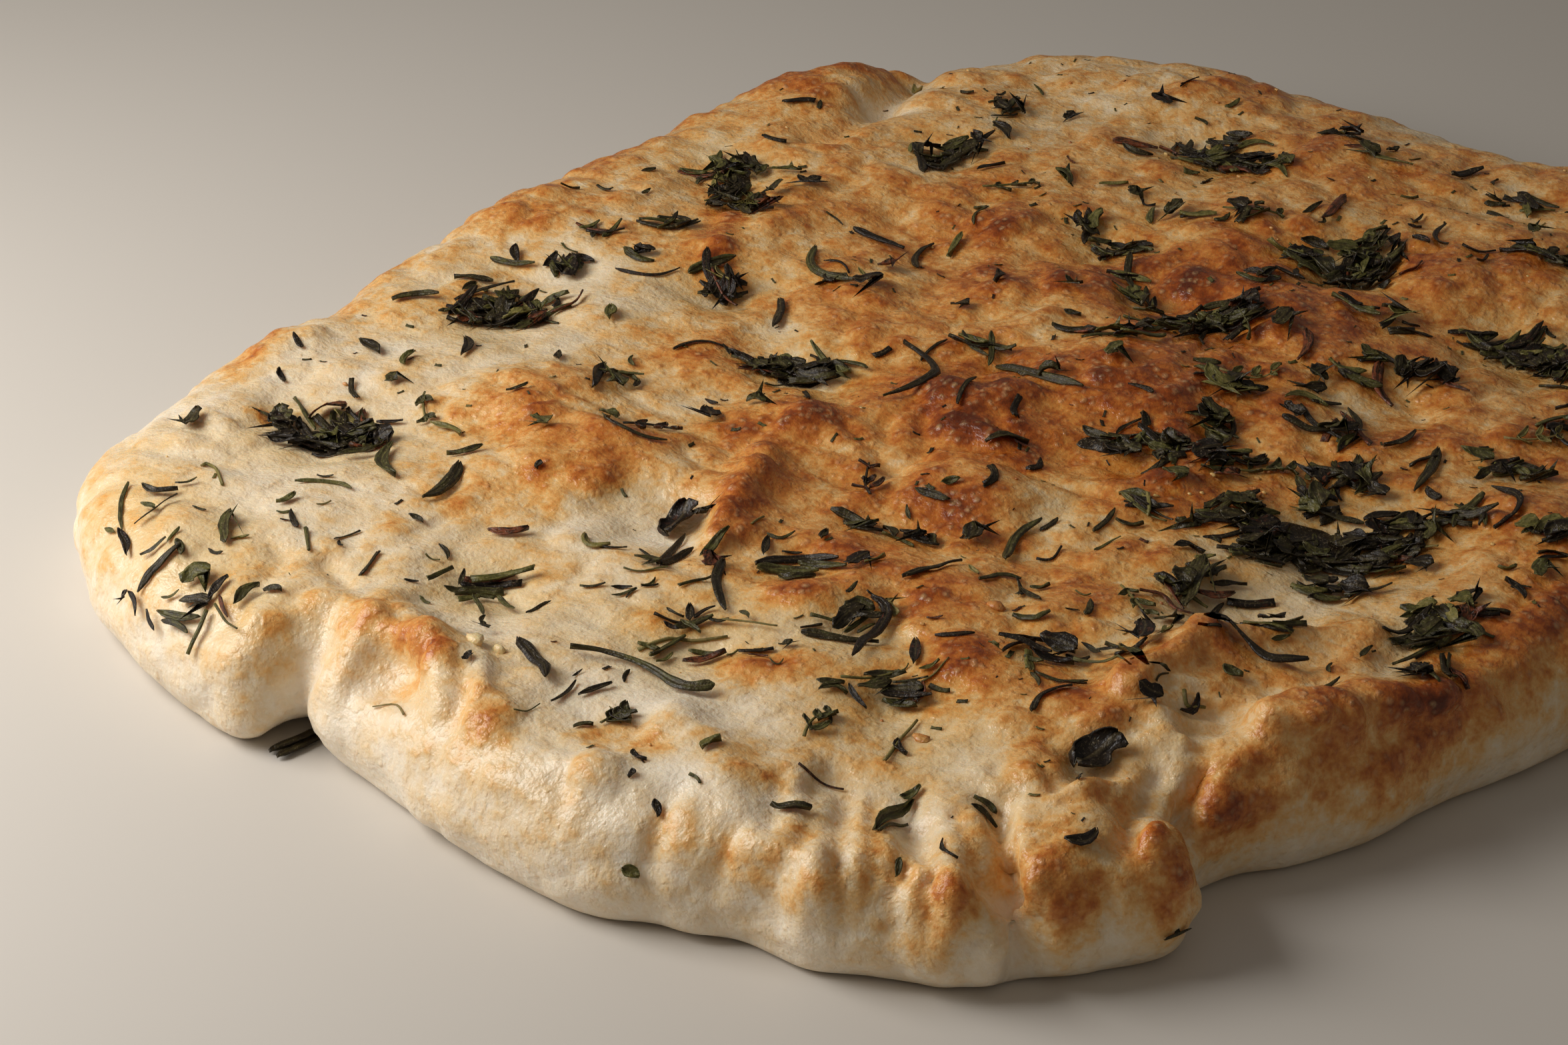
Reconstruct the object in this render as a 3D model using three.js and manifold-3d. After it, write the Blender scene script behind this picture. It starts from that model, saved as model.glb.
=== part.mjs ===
// Focaccia: a hand-shaped flat bread, pressed with the fingertips and strewn with rosemary, thyme and sage.
// Millimetres, +Z up. The flat base lies on z = 0, and the origin is the middle of the bread's footprint.
import * as THREE from "three";
import { mergeVertices } from "three/addons/utils/BufferGeometryUtils.js";
import Module from "manifold-3d";

const wasm = await Module();
wasm.setup();

// ---------------------------------------------------------------- driving dimensions

const LENGTH = 364; // along Y
const WIDTH = 302; // along X
const CROWN = 24; // height of the top, before its hills and dimples
const LEAN = 0.012; // the top rises this much for each millimetre towards +X
const BELLY = 9; // height of the widest line of the side
const UNDERCUT = 4.8; // the base is this much narrower all round than the widest line
const SHOULDER = 17; // width of the rounded rim
const SHOULDER_POWER = 2.2; // 2 is a quarter ellipse, more is squarer
const SWELLS = [ // slow unevenness of the dough: wavelength, height, seed
  [47, 2.0, 1],
  [23, 1.3, 2],
];

// The widest line, seen from above, anticlockwise from the lobe at the back left.
const OUTLINE = [
  [-124, 131], [-134, 122], [-142, 104], [-147, 70], [-149, 35], [-150, 14], [-148, -8], [-147, -28],
  [-146, -45], [-143, -54], [-141, -63], [-143, -73], [-142, -86], [-140, -100], [-136, -116],
  [-132, -133], [-125, -147], [-114, -158], [-98, -168], [-74, -177], [-52, -181], [-43, -178.5],
  [-38, -171], [-32, -174], [-18, -176], [11, -181], [38, -182], [54, -175], [66, -171], [80, -170],
  [91, -164], [101, -159], [109, -152], [113, -146], [120, -138], [125, -130], [127, -120], [121, -110],
  [123, -98], [130, -88], [136, -73], [140, -52], [147, -30],
  [151, 3], [151, 48], [148, 88], [141, 123], [125, 153], [97, 171], [59, 179], [23, 181], [-7, 182],
  [-33, 180], [-57, 181], [-80, 174], [-98, 162], [-110, 150], [-115, 141], [-118, 135],
];
// The pinched notch: under its lip the foot of the side goes further in, in a low cave.
const NOTCH = { x: -38, y: -171, reach: 7, cave: 9 };

// Fingertip dimples, hollows and hills: x, y, reach along and across, turn in degrees, height.
const PRESSED = [
  [-94, -109, 15, 14, 0, -4.0], [-24, -136, 13, 11, 20, -3.0], [-14, -93, 11, 9, 0, -3.5],
  [93, -17, 20, 17, 0, -4.5], [93, -49, 13, 12, 0, -3.0], [-7, -2, 16, 11, 30, -3.0],
  [-32, -27, 14, 11, 0, -3.0], [-105, -37, 13, 19, 10, -4.0], [-107, 33, 22, 10, -40, -3.5],
  [-75, 88, 12, 12, 0, -3.0], [-27, 123, 15, 12, 0, -3.5], [-22, 68, 12, 12, 0, -3.0],
  [13, 50, 20, 9, -25, -3.5], [28, 93, 14, 13, 0, -4.0], [78, 78, 15, 12, 0, -3.5],
  [68, 43, 12, 11, 0, -3.0], [38, -15, 13, 10, 0, -3.0], [50, 8, 11, 9, 0, -3.0],
  [18, -67, 17, 8, 10, -2.5], [41, -100, 11, 13, 0, -2.5], [16, -92, 10, 9, 0, -2.0],
  [59, -118, 12, 10, 0, -2.5], [76, -88, 12, 11, 0, -2.5], [22, -126, 14, 8, 0, -2.0],
  [-64, -172, 12, 10, 30, -1.5], [125, -38, 11, 13, 0, -2.5], [-72, -5, 13, 9, 0, -3.0],
  [40, 140, 16, 11, 20, -2.5], [101, 110, 16, 12, 40, -3.0], [120, 55, 12, 16, 0, -2.5],
  [108, -88, 8, 15, -20, -5.0], [101, -113, 8, 9, 0, -3.0], [118, -107, 6, 6, 0, -3.5],
  [-17, -168, 9, 7, 0, -4.0], [-25, -173, 5, 8, 0, -2.5], [62, -158, 7, 6, 0, -2.5],
];
const HILLS = [
  [-69, -69, 16, 14, 0, 3.5], [-42, -79, 14, 12, 0, 3.0], [-22, -42, 14, 13, 0, 3.0],
  [25, -102, 11, 9, 0, 2.0], [48, -85, 9, 8, 0, 1.5], [3, -17, 19, 15, 20, 4.0],
  [23, -42, 15, 11, 0, 2.5], [23, 13, 20, 16, 0, 4.0], [38, 63, 17, 16, 0, 3.5],
  [63, 58, 11, 10, 0, 2.0], [53, 108, 20, 15, 0, 4.0], [-17, 43, 14, 12, 0, 3.0],
  [-42, 63, 14, 13, 0, 3.0], [-87, 18, 10, 18, 0, 2.5], [-52, 18, 13, 13, 0, 2.5],
  [-57, -32, 12, 11, 0, 2.0], [-122, 100, 11, 20, 15, 3.0], [-57, 148, 20, 13, 0, 2.5],
  [-7, 146, 16, 11, 0, 2.0], [122, -124, 8, 7, 0, 3.5], [113, -143, 8, 8, 0, 4.0],
  [98, -156, 7, 6, 0, 3.0], [-32, -162, 9, 7, 0, 2.0], [-45, -170, 8, 6, 0, 1.5],
  [32, -170, 9, 6, 0, 2.0], [7, -170, 8, 6, 0, 1.5], [-127, -82, 7, 9, 0, 2.0],
  [120, 15, 13, 18, 0, 2.5], [95, 145, 18, 12, -30, 2.5], [122, 90, 12, 16, 0, 2.0],
];
// Pleats, ridges and creases: from x, y, to x, y, reach, height.
const FOLDS = [
  [-15, -62, -3, -92, 5.0, 3.5], [133, -53, 124, -79, 6.0, 3.5], [124, -79, 121, -99, 6.0, 4.0],
  [94, -68, 113, -42, 6.0, 2.5], [93, -69, 93, -92, 4.0, 2.5], [93, -92, 105, -97, 4.0, 2.0],
  [96, -134, 105, -147, 5.0, -3.0], [105, -147, 109, -156, 5.0, -4.0], [110, -107, 117, -127, 5.0, -2.5],
  [80, -141, 92, -152, 5.0, -2.0], [68, -144, 78, -158, 5.0, -2.0], [54, -158, 60, -164, 5.0, 2.0],
  [-33, -152, -8, -160, 5.0, 2.0], [-18, -157, -1, -167, 4.5, 2.5], [32, -148, 48, -153, 5.0, 1.8],
  [94, -122, 110, -130, 5.0, 2.0], [-117, 130, -110, 100, 5.0, -5.0], [-110, 100, -106, 74, 5.0, -3.0],
];

// Small herbs baked onto the crust: kind, from x, y, to x, y, width, sideways bend.
const BAKED_ON = [
  ["leaf", -78, -104, -66, -116, 3, 1], ["needle", -60, -104, -55, -120, 3.5, 1],
  ["leaf", -79, -130, -69, -124, 3, 1], ["leaf", -116, -121, -113, -128, 3.5, 0],
  ["leaf", -61, -96, -65, -102, 2.5, 1], ["leaf", -38, -119, -32, -114, 3, 0],
  ["leaf", -80, -147, -71, -156, 3, -1], ["needle", -48, -139, -44, -150, 2.5, 1],
  ["leaf", -57, -136, -54, -143, 2.5, 0], ["leaf", -101, -134, -94, -138, 2.5, 1],
  ["leaf", 0, -93, 1, -102, 3, 0], ["needle", 6, -100, 18, -115, 2.7, 1],
  ["leaf", -13, -129, -12, -136, 2.2, 0], ["needle", -2, -149, 10, -157, 3.5, 2],
  ["leaf", 12, -150, 15, -159, 2.5, 1], ["leaf", 18, -146, 16, -153, 3, 1],
  ["leaf", 44, -154, 48, -157, 4, 0], ["leaf", 63, -160, 71, -155, 3.5, 0],
  ["leaf", 55, -133, 57, -139, 3, 1], ["leaf", 60, -147, 68, -143, 2.2, 1],
  ["leaf", 79, -146, 81, -153, 2.5, 0], ["leaf", 113, -131, 111, -137, 4, 0],
  ["needle", 86, -100, 88, -111, 3, -1], ["leaf", 61, -81, 67, -82, 3, 0],
  ["needle", 39, -68, 38, -83, 2.5, 1], ["needle", 42, -41, 47, -63, 2.7, 1],
  ["needle", -25, -3, -12, -27, 2.7, 1], ["leaf", -40, -52, -34, -56, 5, 0],
  ["leaf", -59, -84, -52, -85, 3.5, 1], ["leaf", -68, -51, -60, -64, 3, 1],
  ["leaf", -117, -74, -109, -76, 3.5, 0], ["leaf", -93, -68, -99, -60, 3, 0],
  ["needle", 8, 122, 12, 106, 3, 1], ["leaf", 16, -29, 22, -23, 3, 0],
  ["leaf", 96, -47, 106, -57, 2.4, 1], ["needle", 87, 29, 92, 12, 2.5, 1],
  ["needle", 106, 18, 106, 31, 3, 1], ["leaf", -70, 24, -56, 18, 3, 1],
  ["leaf", -50, 53, -46, 43, 3, 0], ["leaf", -70, 40, -58, 40, 4, 1],
  ["needle", -4, 3, 18, 0, 3, 1], ["needle", 59, 57, 70, 47, 3.5, 1],
  ["leaf", 53, 25, 60, 31, 2.4, 0], ["leaf", 22, 152, 26, 160, 3.5, 0],
  ["leaf", 55, 121, 62, 115, 4, 0], ["leaf", 104, 96, 112, 104, 4, 1],
  ["leaf", 88, 128, 96, 132, 3.5, 0], ["leaf", 130, 24, 134, 33, 3.5, 1],
  ["leaf", 74, 152, 82, 148, 3.5, 1], ["needle", 118, 112, 114, 126, 3, 1],
];

// Clumps as large as berries: x, y, reach along and across, turn in degrees.
const BUNCHES = [
  [-94, -109, 12, 10, 0], [-98, -154, 11, 7, -50], [-79, -163, 10, 4, -60], [-61, -167, 9, 8, -40],
  [-26, -134, 9, 6, 20], [18, -121, 9, 8, 0], [41, -101, 12, 8, -60], [57, -116, 10, 6, 0],
  [75, -88, 9, 8, 0], [80, -47, 9, 8, -30], [85, -13, 16, 15, 0], [122, -34, 9, 6, 60],
  [-108, -42, 12, 9, 60], [-108, 43, 18, 6, -40], [-80, 89, 10, 8, 60], [-26, 128, 11, 8, 0],
  [-26, 73, 10, 7, -30], [21, 49, 11, 7, -40], [27, 97, 13, 11, 0], [76, 83, 12, 7, 0],
  [34, -12, 10, 7, 0], [-36, -22, 11, 7, 10], [-75, -1, 9, 6, 0], [112, 66, 12, 8, 30],
];

// Single leaves as large as berries: name, kind, from x, y, to x, y, width, sideways bend.
const LARGE_LEAVES = [
  ["rosemary_long", "needle", 7, -145, 34, -136, 3.6, 2.5],
  ["rosemary_curled", "needle", 92, -65, 112, -63, 3.4, -2],
  ["sage_front", "leaf", 100, -104, 98, -116, 8, 0],
  ["sage_middle", "leaf", -16, -84, -12, -95, 8, 0],
];
// Cut needles that lie side by side in the pinched notch, beside the foot of the bread.
const NOTCH_NEEDLES = [
  [-40.5, -177.5, -38.5, -164.5, 2.6, 0.4],
  [-38.0, -178, -36.6, -165.5, 2.6, 0.2],
];

// ---------------------------------------------------------------- shape of the bread

const CONTROL_STEPS = 16; // points of the curve between two points of the outline
const RING_STEP = 3; // spacing of the points that stand for the outline when distances are measured

function outlineCurve() {
  const points = OUTLINE.map(([x, y]) => new THREE.Vector3(x, y, 0));
  return new THREE.CatmullRomCurve3(points, true, "catmullrom", 0.5);
}

const outlineLoop = evenLoop(outlineCurve().getPoints(OUTLINE.length * CONTROL_STEPS), RING_STEP);

// Points at an even spacing round a closed run of points.
function evenLoop(points, spacing) {
  const lengths = [0];
  for (let i = 1; i < points.length; i += 1) {
    lengths.push(lengths[i - 1] + points[i].distanceTo(points[i - 1]));
  }
  const total = lengths[lengths.length - 1];
  const count = Math.round(total / spacing);
  const loop = [];
  let k = 0;
  for (let i = 0; i < count; i += 1) {
    const along = (i / count) * total;
    while (lengths[k + 1] < along) {
      k += 1;
    }
    const share = (along - lengths[k]) / (lengths[k + 1] - lengths[k]);
    loop.push(points[k].clone().lerp(points[k + 1], share));
  }
  return loop;
}

// How far inside the widest line a point lies, 0 outside it.
function depthInside(x, y) {
  let best = Infinity;
  let inside = false;
  for (let i = 0; i < outlineLoop.length; i += 1) {
    const a = outlineLoop[i];
    const b = outlineLoop[(i + 1) % outlineLoop.length];
    const dx = b.x - a.x;
    const dy = b.y - a.y;
    const along = ((x - a.x) * dx + (y - a.y) * dy) / (dx * dx + dy * dy);
    const t = Math.min(Math.max(along, 0), 1);
    best = Math.min(best, (x - a.x - t * dx) ** 2 + (y - a.y - t * dy) ** 2);
    if (a.y > y !== b.y > y && x < a.x + ((y - a.y) * dx) / dy) {
      inside = !inside;
    }
  }
  return inside ? Math.sqrt(best) : 0;
}

// A fixed number from 0 to 1 for each lattice point, so that the dough has the same swells every time.
function lattice(i, j, seed) {
  const value = Math.sin(i * 127.1 + j * 311.7 + seed * 74.7) * 43758.5453;
  return value - Math.floor(value);
}

// Smooth unevenness from -1 to 1.
function swell(x, y, wavelength, seed) {
  const i = Math.floor(x / wavelength);
  const j = Math.floor(y / wavelength);
  const ease = (t) => t * t * t * (t * (t * 6 - 15) + 10);
  const u = ease(x / wavelength - i);
  const v = ease(y / wavelength - j);
  const low = THREE.MathUtils.lerp(lattice(i, j, seed), lattice(i + 1, j, seed), u);
  const high = THREE.MathUtils.lerp(lattice(i, j + 1, seed), lattice(i + 1, j + 1, seed), u);
  return THREE.MathUtils.lerp(low, high, v) * 2 - 1;
}

function moundAt(x, y, [mx, my, along, across, turn, height]) {
  const c = Math.cos(THREE.MathUtils.degToRad(turn));
  const s = Math.sin(THREE.MathUtils.degToRad(turn));
  const u = ((x - mx) * c + (y - my) * s) / along;
  const v = ((y - my) * c - (x - mx) * s) / across;
  return height * Math.exp(-(u * u + v * v));
}

function foldAt(x, y, [x0, y0, x1, y1, reach, height]) {
  const dx = x1 - x0;
  const dy = y1 - y0;
  const t = THREE.MathUtils.clamp(((x - x0) * dx + (y - y0) * dy) / (dx * dx + dy * dy), 0, 1);
  const off = (x - x0 - t * dx) ** 2 + (y - y0 - t * dy) ** 2;
  return height * Math.exp(-off / (reach * reach));
}

// Height of the crust over a point of the footprint.
function crust(x, y) {
  let top = CROWN + LEAN * x;
  for (const [wavelength, height, seed] of SWELLS) {
    top += height * swell(x, y, wavelength, seed);
  }
  for (const mound of [...PRESSED, ...HILLS]) {
    top += moundAt(x, y, mound);
  }
  for (const fold of FOLDS) {
    top += foldAt(x, y, fold);
  }
  const q = THREE.MathUtils.clamp(1 - depthInside(x, y) / SHOULDER, 0, 1);
  return BELLY + (top - BELLY) * (1 - q ** SHOULDER_POWER) ** (1 / SHOULDER_POWER);
}

// ---------------------------------------------------------------- mesh of the bread

const CELLS_X = 42;
const CELLS_Y = 50;
const EDGE_CROWDING = 0.4; // 0 spaces the rows evenly, towards 1 they crowd at the rim
const CORNER_ROUNDING = 0.6; // 0 is a rectangular grid, 1 an elliptical one
const RIM_PULL = 4; // how quickly the rows forget the outline on their way inwards
const SIDE_LEVELS = [6, 3, 0.8, 0]; // heights of the rows below the widest line
const NORMAL_SPAN = 2; // perimeter points to each side that set the direction of the undercut
const CURVE_STEP = 0.5; // spacing of the outline points that the rim is picked from

// -1 to 1, with steps that get smaller towards the ends.
function crowded(share) {
  const s = share * 2 - 1;
  return s + (EDGE_CROWDING * Math.sin(Math.PI * s)) / Math.PI;
}

// The point of a plain round-cornered grid.
function gridPoint(u, v) {
  const x = THREE.MathUtils.lerp(1, Math.sqrt(1 - (v * v) / 2), CORNER_ROUNDING);
  const y = THREE.MathUtils.lerp(1, Math.sqrt(1 - (u * u) / 2), CORNER_ROUNDING);
  return new THREE.Vector3((u * x * WIDTH) / 2, (v * y * LENGTH) / 2, 0);
}

// The rim points of the grid, one for each cell step, anticlockwise from the corner at -X, -Y.
function rimPoints() {
  const curve = evenLoop(outlineCurve().getPoints(OUTLINE.length * CONTROL_STEPS), CURVE_STEP);
  const corners = [[-1, -1], [1, -1], [1, 1], [-1, 1]].map(([sx, sy]) => {
    const aim = Math.atan2(sy * LENGTH, sx * WIDTH);
    const misses = curve.map((p) => Math.abs(Math.atan2(p.y, p.x) - aim));
    return misses.indexOf(Math.min(...misses));
  });
  const rim = [];
  for (let side = 0; side < 4; side += 1) {
    const cells = side % 2 === 0 ? CELLS_X : CELLS_Y;
    const run = (corners[(side + 1) % 4] - corners[side] + curve.length) % curve.length;
    for (let i = 0; i < cells; i += 1) {
      const share = (crowded(i / cells) + 1) / 2;
      rim.push(curve[(corners[side] + Math.round(share * run)) % curve.length]);
    }
  }
  return rim;
}

// How many cell steps from its start a place on one side of the grid lies.
function stepsAlong(value, cells) {
  let k = 0;
  while (k < cells - 1 && crowded((k + 1) / cells) <= value) {
    k += 1;
  }
  const low = crowded(k / cells);
  const high = crowded((k + 1) / cells);
  return k + THREE.MathUtils.clamp((value - low) / (high - low), 0, 1);
}

// Where the line from the middle through a grid point meets the rim, as a place in the list of rim points.
function rimPlace(u, v) {
  if (Math.abs(v) >= Math.abs(u)) {
    const place = stepsAlong(u / Math.abs(v), CELLS_X);
    return v < 0 ? place : 2 * CELLS_X + CELLS_Y - place;
  }
  const place = stepsAlong(v / Math.abs(u), CELLS_Y);
  return u > 0 ? CELLS_X + place : 2 * CELLS_X + 2 * CELLS_Y - place;
}

// A point of the footprint: the plain grid, bent out to the outline more and more towards the rim.
function footprintPoint(u, v, rim) {
  const ring = Math.max(Math.abs(u), Math.abs(v));
  const plain = gridPoint(u, v);
  if (ring === 0) {
    return plain;
  }
  const place = rimPlace(u, v) % rim.length;
  const k = Math.floor(place);
  const target = rim[k].clone().lerp(rim[(k + 1) % rim.length], place - k);
  return plain.addScaledVector(target.sub(gridPoint(u / ring, v / ring)), ring ** RIM_PULL);
}

function breadGeometry() {
  const rim = rimPoints();
  const positions = [];
  const index = [];
  const row = CELLS_X + 1;
  for (let j = 0; j <= CELLS_Y; j += 1) {
    for (let i = 0; i <= CELLS_X; i += 1) {
      const p = footprintPoint(crowded(i / CELLS_X), crowded(j / CELLS_Y), rim);
      const onRim = i === 0 || j === 0 || i === CELLS_X || j === CELLS_Y;
      positions.push(p.x, p.y, onRim ? BELLY : crust(p.x, p.y));
    }
  }
  for (let j = 0; j < CELLS_Y; j += 1) {
    for (let i = 0; i < CELLS_X; i += 1) {
      const a = j * row + i;
      const b = a + row;
      index.push(...((i + j) % 2 === 0 ? [a, a + 1, b + 1, a, b + 1, b] : [a, a + 1, b, a + 1, b + 1, b]));
    }
  }
  let upper = [];
  for (let i = 0; i < CELLS_X; i += 1) upper.push(i);
  for (let j = 0; j < CELLS_Y; j += 1) upper.push(j * row + CELLS_X);
  for (let i = CELLS_X; i > 0; i -= 1) upper.push(CELLS_Y * row + i);
  for (let j = CELLS_Y; j > 0; j -= 1) upper.push(j * row);
  for (const level of SIDE_LEVELS) {
    const drop = (BELLY - level) / BELLY;
    const undercut = UNDERCUT * (1 - Math.sqrt(1 - drop * drop));
    const lower = rim.map((p, i) => {
      const offNotch = (p.x - NOTCH.x) ** 2 + (p.y - NOTCH.y) ** 2;
      const inset = undercut + NOTCH.cave * drop ** 2 * Math.exp(-offNotch / NOTCH.reach ** 2);
      const before = rim[(i - NORMAL_SPAN + rim.length) % rim.length];
      const run = rim[(i + NORMAL_SPAN) % rim.length].clone().sub(before).normalize();
      positions.push(p.x - run.y * inset, p.y + run.x * inset, level);
      return positions.length / 3 - 1;
    });
    for (let i = 0; i < rim.length; i += 1) {
      const n = (i + 1) % rim.length;
      index.push(upper[i], lower[i], lower[n], upper[i], lower[n], upper[n]);
    }
    upper = lower;
  }
  const base = upper.map((k) => new THREE.Vector2(positions[3 * k], positions[3 * k + 1]));
  for (const [a, b, c] of THREE.ShapeUtils.triangulateShape(base, [])) {
    index.push(upper[a], upper[c], upper[b]);
  }
  return indexed(positions, index);
}

// ---------------------------------------------------------------- herbs

const LIFT_FUSED = -0.7; // underside of a small leaf, sunk into the crust that it is baked onto
const LIFT_LOOSE = 0.2; // underside of a larger leaf, before it is cut clear of the crust
const LEAF_THICKNESS = 1.4;
const CLEARANCE = 0.3; // gap between a clump and the crust
const KINDS = { // roundness of the outline, rise of the midrib, rows between the two tips
  needle: { taper: 0.35, rib: 0.18, rows: 3 },
  leaf: { taper: 0.6, rib: 0.12, rows: 2 },
  scrap: { taper: 1, rib: 0.15, rows: 1 },
};
const CORE_SIDES = 6;
const CORE_HEIGHT = 2.6;
const CORE_SHARE = 0.62; // reach of the core as a share of its clump
const CORE_TAPER = 0.7; // reach of the core's upper ring as a share of its lower one
const CORE_SLOPE = 0.8; // height of that ring as a share of the core's
const CORE_UNEVEN = 0.4; // how much the reach varies from corner to corner
const EDGE_LEAF = 3.2; // width of a leaf that sticks out of a clump
const EDGE_LIFT = 0.5; // underside of such a leaf
const EDGE_SPACING = 11; // distance between such leaves round the core
const EDGE_ROOT = 0.28; // where they start and end, as shares of the clump's reach
const EDGE_TIP = 0.9;
const EDGE_VARIES = 0.25; // how much further out some of them reach
const EDGE_STRAY = 0.6; // how far their directions stray from even ones, as a share of the spacing
const EDGE_SWING = 0.5; // turn of a leaf from its root to its tip, in radians

// A flat, slightly arched blade from (x0, y0) to (x1, y1) that follows what it lies on.
function bladeGeometry([x0, y0, x1, y1, width, bend], kind, lift, ground = crust) {
  const { taper, rib, rows } = KINDS[kind];
  const along = new THREE.Vector2(x1 - x0, y1 - y0);
  const across = new THREE.Vector2(-along.y, along.x).normalize();
  const positions = [];
  const point = (share, side, level) => {
    const reach = ((side * width) / 2) * Math.sin(Math.PI * share) ** taper;
    const off = reach + bend * 4 * share * (1 - share);
    const x = x0 + along.x * share + across.x * off;
    const y = y0 + along.y * share + across.y * off;
    const rise = rib * width * (1 - Math.abs(side));
    positions.push(x, y, ground(x, y) + lift + rise + level * LEAF_THICKNESS);
    return positions.length / 3 - 1;
  };
  const faces = [0, 1].map((level) => {
    const cross = [];
    for (let i = 1; i <= rows; i += 1) {
      cross.push([1, 0, -1].map((side) => point(i / (rows + 1), side, level)));
    }
    return { start: point(0, 0, level), cross, end: point(1, 0, level) };
  });
  const skin = ({ start, cross, end }) => {
    const last = cross[cross.length - 1];
    const triangles = [
      [start, cross[0][1], cross[0][0]], [start, cross[0][2], cross[0][1]],
      [end, last[0], last[1]], [end, last[1], last[2]],
    ];
    for (let i = 0; i + 1 < cross.length; i += 1) {
      for (let k = 0; k < 2; k += 1) {
        const [a, b, c, d] = [cross[i][k], cross[i][k + 1], cross[i + 1][k + 1], cross[i + 1][k]];
        triangles.push([a, b, c], [a, c, d]);
      }
    }
    return triangles;
  };
  const edge = ({ start, cross, end }) => [
    start, ...cross.map((c) => c[2]), end, ...cross.map((c) => c[0]).reverse(),
  ];
  const index = [];
  skin(faces[1]).forEach(([a, b, c]) => index.push(a, b, c));
  skin(faces[0]).forEach(([a, b, c]) => index.push(a, c, b));
  const [low, high] = [edge(faces[0]), edge(faces[1])];
  for (let i = 0; i < low.length; i += 1) {
    const n = (i + 1) % low.length;
    index.push(low[i], low[n], high[n], low[i], high[n], high[i]);
  }
  return indexed(positions, index);
}

// A place in a clump: share is the distance from its middle, 1 at the clump's edge.
function inBunch([x, y, along, across, turn], angle, share) {
  const place = new THREE.Vector2(along * share * Math.cos(angle), across * share * Math.sin(angle));
  return place.rotateAround(new THREE.Vector2(), THREE.MathUtils.degToRad(turn)).add(new THREE.Vector2(x, y));
}

// The low, uneven core of a clump.
function coreGeometry(bunch) {
  const positions = [];
  const add = (p, lift) => positions.push(p.x, p.y, crust(p.x, p.y) + lift);
  for (const [taper, lift] of [[1, LIFT_LOOSE], [CORE_TAPER, CORE_HEIGHT * CORE_SLOPE]]) {
    for (let i = 0; i < CORE_SIDES; i += 1) {
      const uneven = 1 + CORE_UNEVEN * (lattice(i, bunch[0], bunch[1]) - 0.5);
      add(inBunch(bunch, (i / CORE_SIDES) * 2 * Math.PI, CORE_SHARE * taper * uneven), lift);
    }
  }
  const middle = new THREE.Vector2(bunch[0], bunch[1]);
  add(middle, LIFT_LOOSE);
  add(middle, CORE_HEIGHT);
  const [under, top] = [2 * CORE_SIDES, 2 * CORE_SIDES + 1];
  const index = [];
  for (let i = 0; i < CORE_SIDES; i += 1) {
    const n = (i + 1) % CORE_SIDES;
    index.push(under, n, i, top, CORE_SIDES + i, CORE_SIDES + n);
    index.push(i, n, CORE_SIDES + n, i, CORE_SIDES + n, CORE_SIDES + i);
  }
  return indexed(positions, index);
}

// A clump: its core with leaves that stick out all round in seeded directions.
function bunchSolid(bunch) {
  const [x, y, along, across] = bunch;
  const halfway = (Math.PI * (along + across)) / 2;
  const leaves = Math.max(3, Math.round(halfway / EDGE_SPACING) + 1);
  let solid = toSolid(coreGeometry(bunch));
  for (let k = 0; k < leaves; k += 1) {
    const angle = ((k + EDGE_STRAY * lattice(k, x, y)) / leaves) * 2 * Math.PI;
    const swung = angle + EDGE_SWING * (lattice(k, y, x) - 0.5);
    const from = inBunch(bunch, angle, EDGE_ROOT);
    const to = inBunch(bunch, swung, EDGE_TIP + EDGE_VARIES * lattice(x, k, y));
    const blade = [from.x, from.y, to.x, to.y, EDGE_LEAF, 0];
    solid = solid.add(toSolid(bladeGeometry(blade, "scrap", EDGE_LIFT)));
  }
  return solid;
}

// ---------------------------------------------------------------- joining and cutting

function indexed(positions, index) {
  const geometry = new THREE.BufferGeometry();
  geometry.setAttribute("position", new THREE.Float32BufferAttribute(positions, 3));
  geometry.setIndex(index);
  return geometry;
}

function toSolid(geometry) {
  const merged = mergeVertices(geometry, 1e-4);
  return new wasm.Manifold(new wasm.Mesh({
    numProp: 3,
    vertProperties: new Float32Array(merged.attributes.position.array),
    triVerts: new Uint32Array(merged.index.array),
  }));
}

function toGeometry(solid) {
  const mesh = solid.getMesh();
  const geometry = new THREE.BufferGeometry();
  geometry.setAttribute("position", new THREE.BufferAttribute(mesh.vertProperties, 3));
  geometry.setIndex(new THREE.BufferAttribute(mesh.triVerts, 1));
  return geometry;
}

// The largest body of a solid, without the scraps that a cut leaves.
function largest(solid) {
  return solid.decompose().reduce((a, b) => (a.volume() > b.volume() ? a : b));
}

// ---------------------------------------------------------------- assembly

let bread = toSolid(breadGeometry());
for (const [kind, ...blade] of BAKED_ON) {
  bread = bread.add(toSolid(bladeGeometry(blade, kind, LIFT_FUSED)));
}
bread = largest(bread);

const group = new THREE.Group();
function addPiece(name, solid, material) {
  const piece = new THREE.Mesh(toGeometry(solid), material);
  piece.name = name;
  group.add(piece);
}

const crumb = new THREE.MeshStandardMaterial({ color: 0xd9b07a, roughness: 0.6, metalness: 0 });
const herb = new THREE.MeshStandardMaterial({ color: 0x2a2a18, roughness: 0.7, metalness: 0 });
addPiece("focaccia", bread, crumb);

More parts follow.
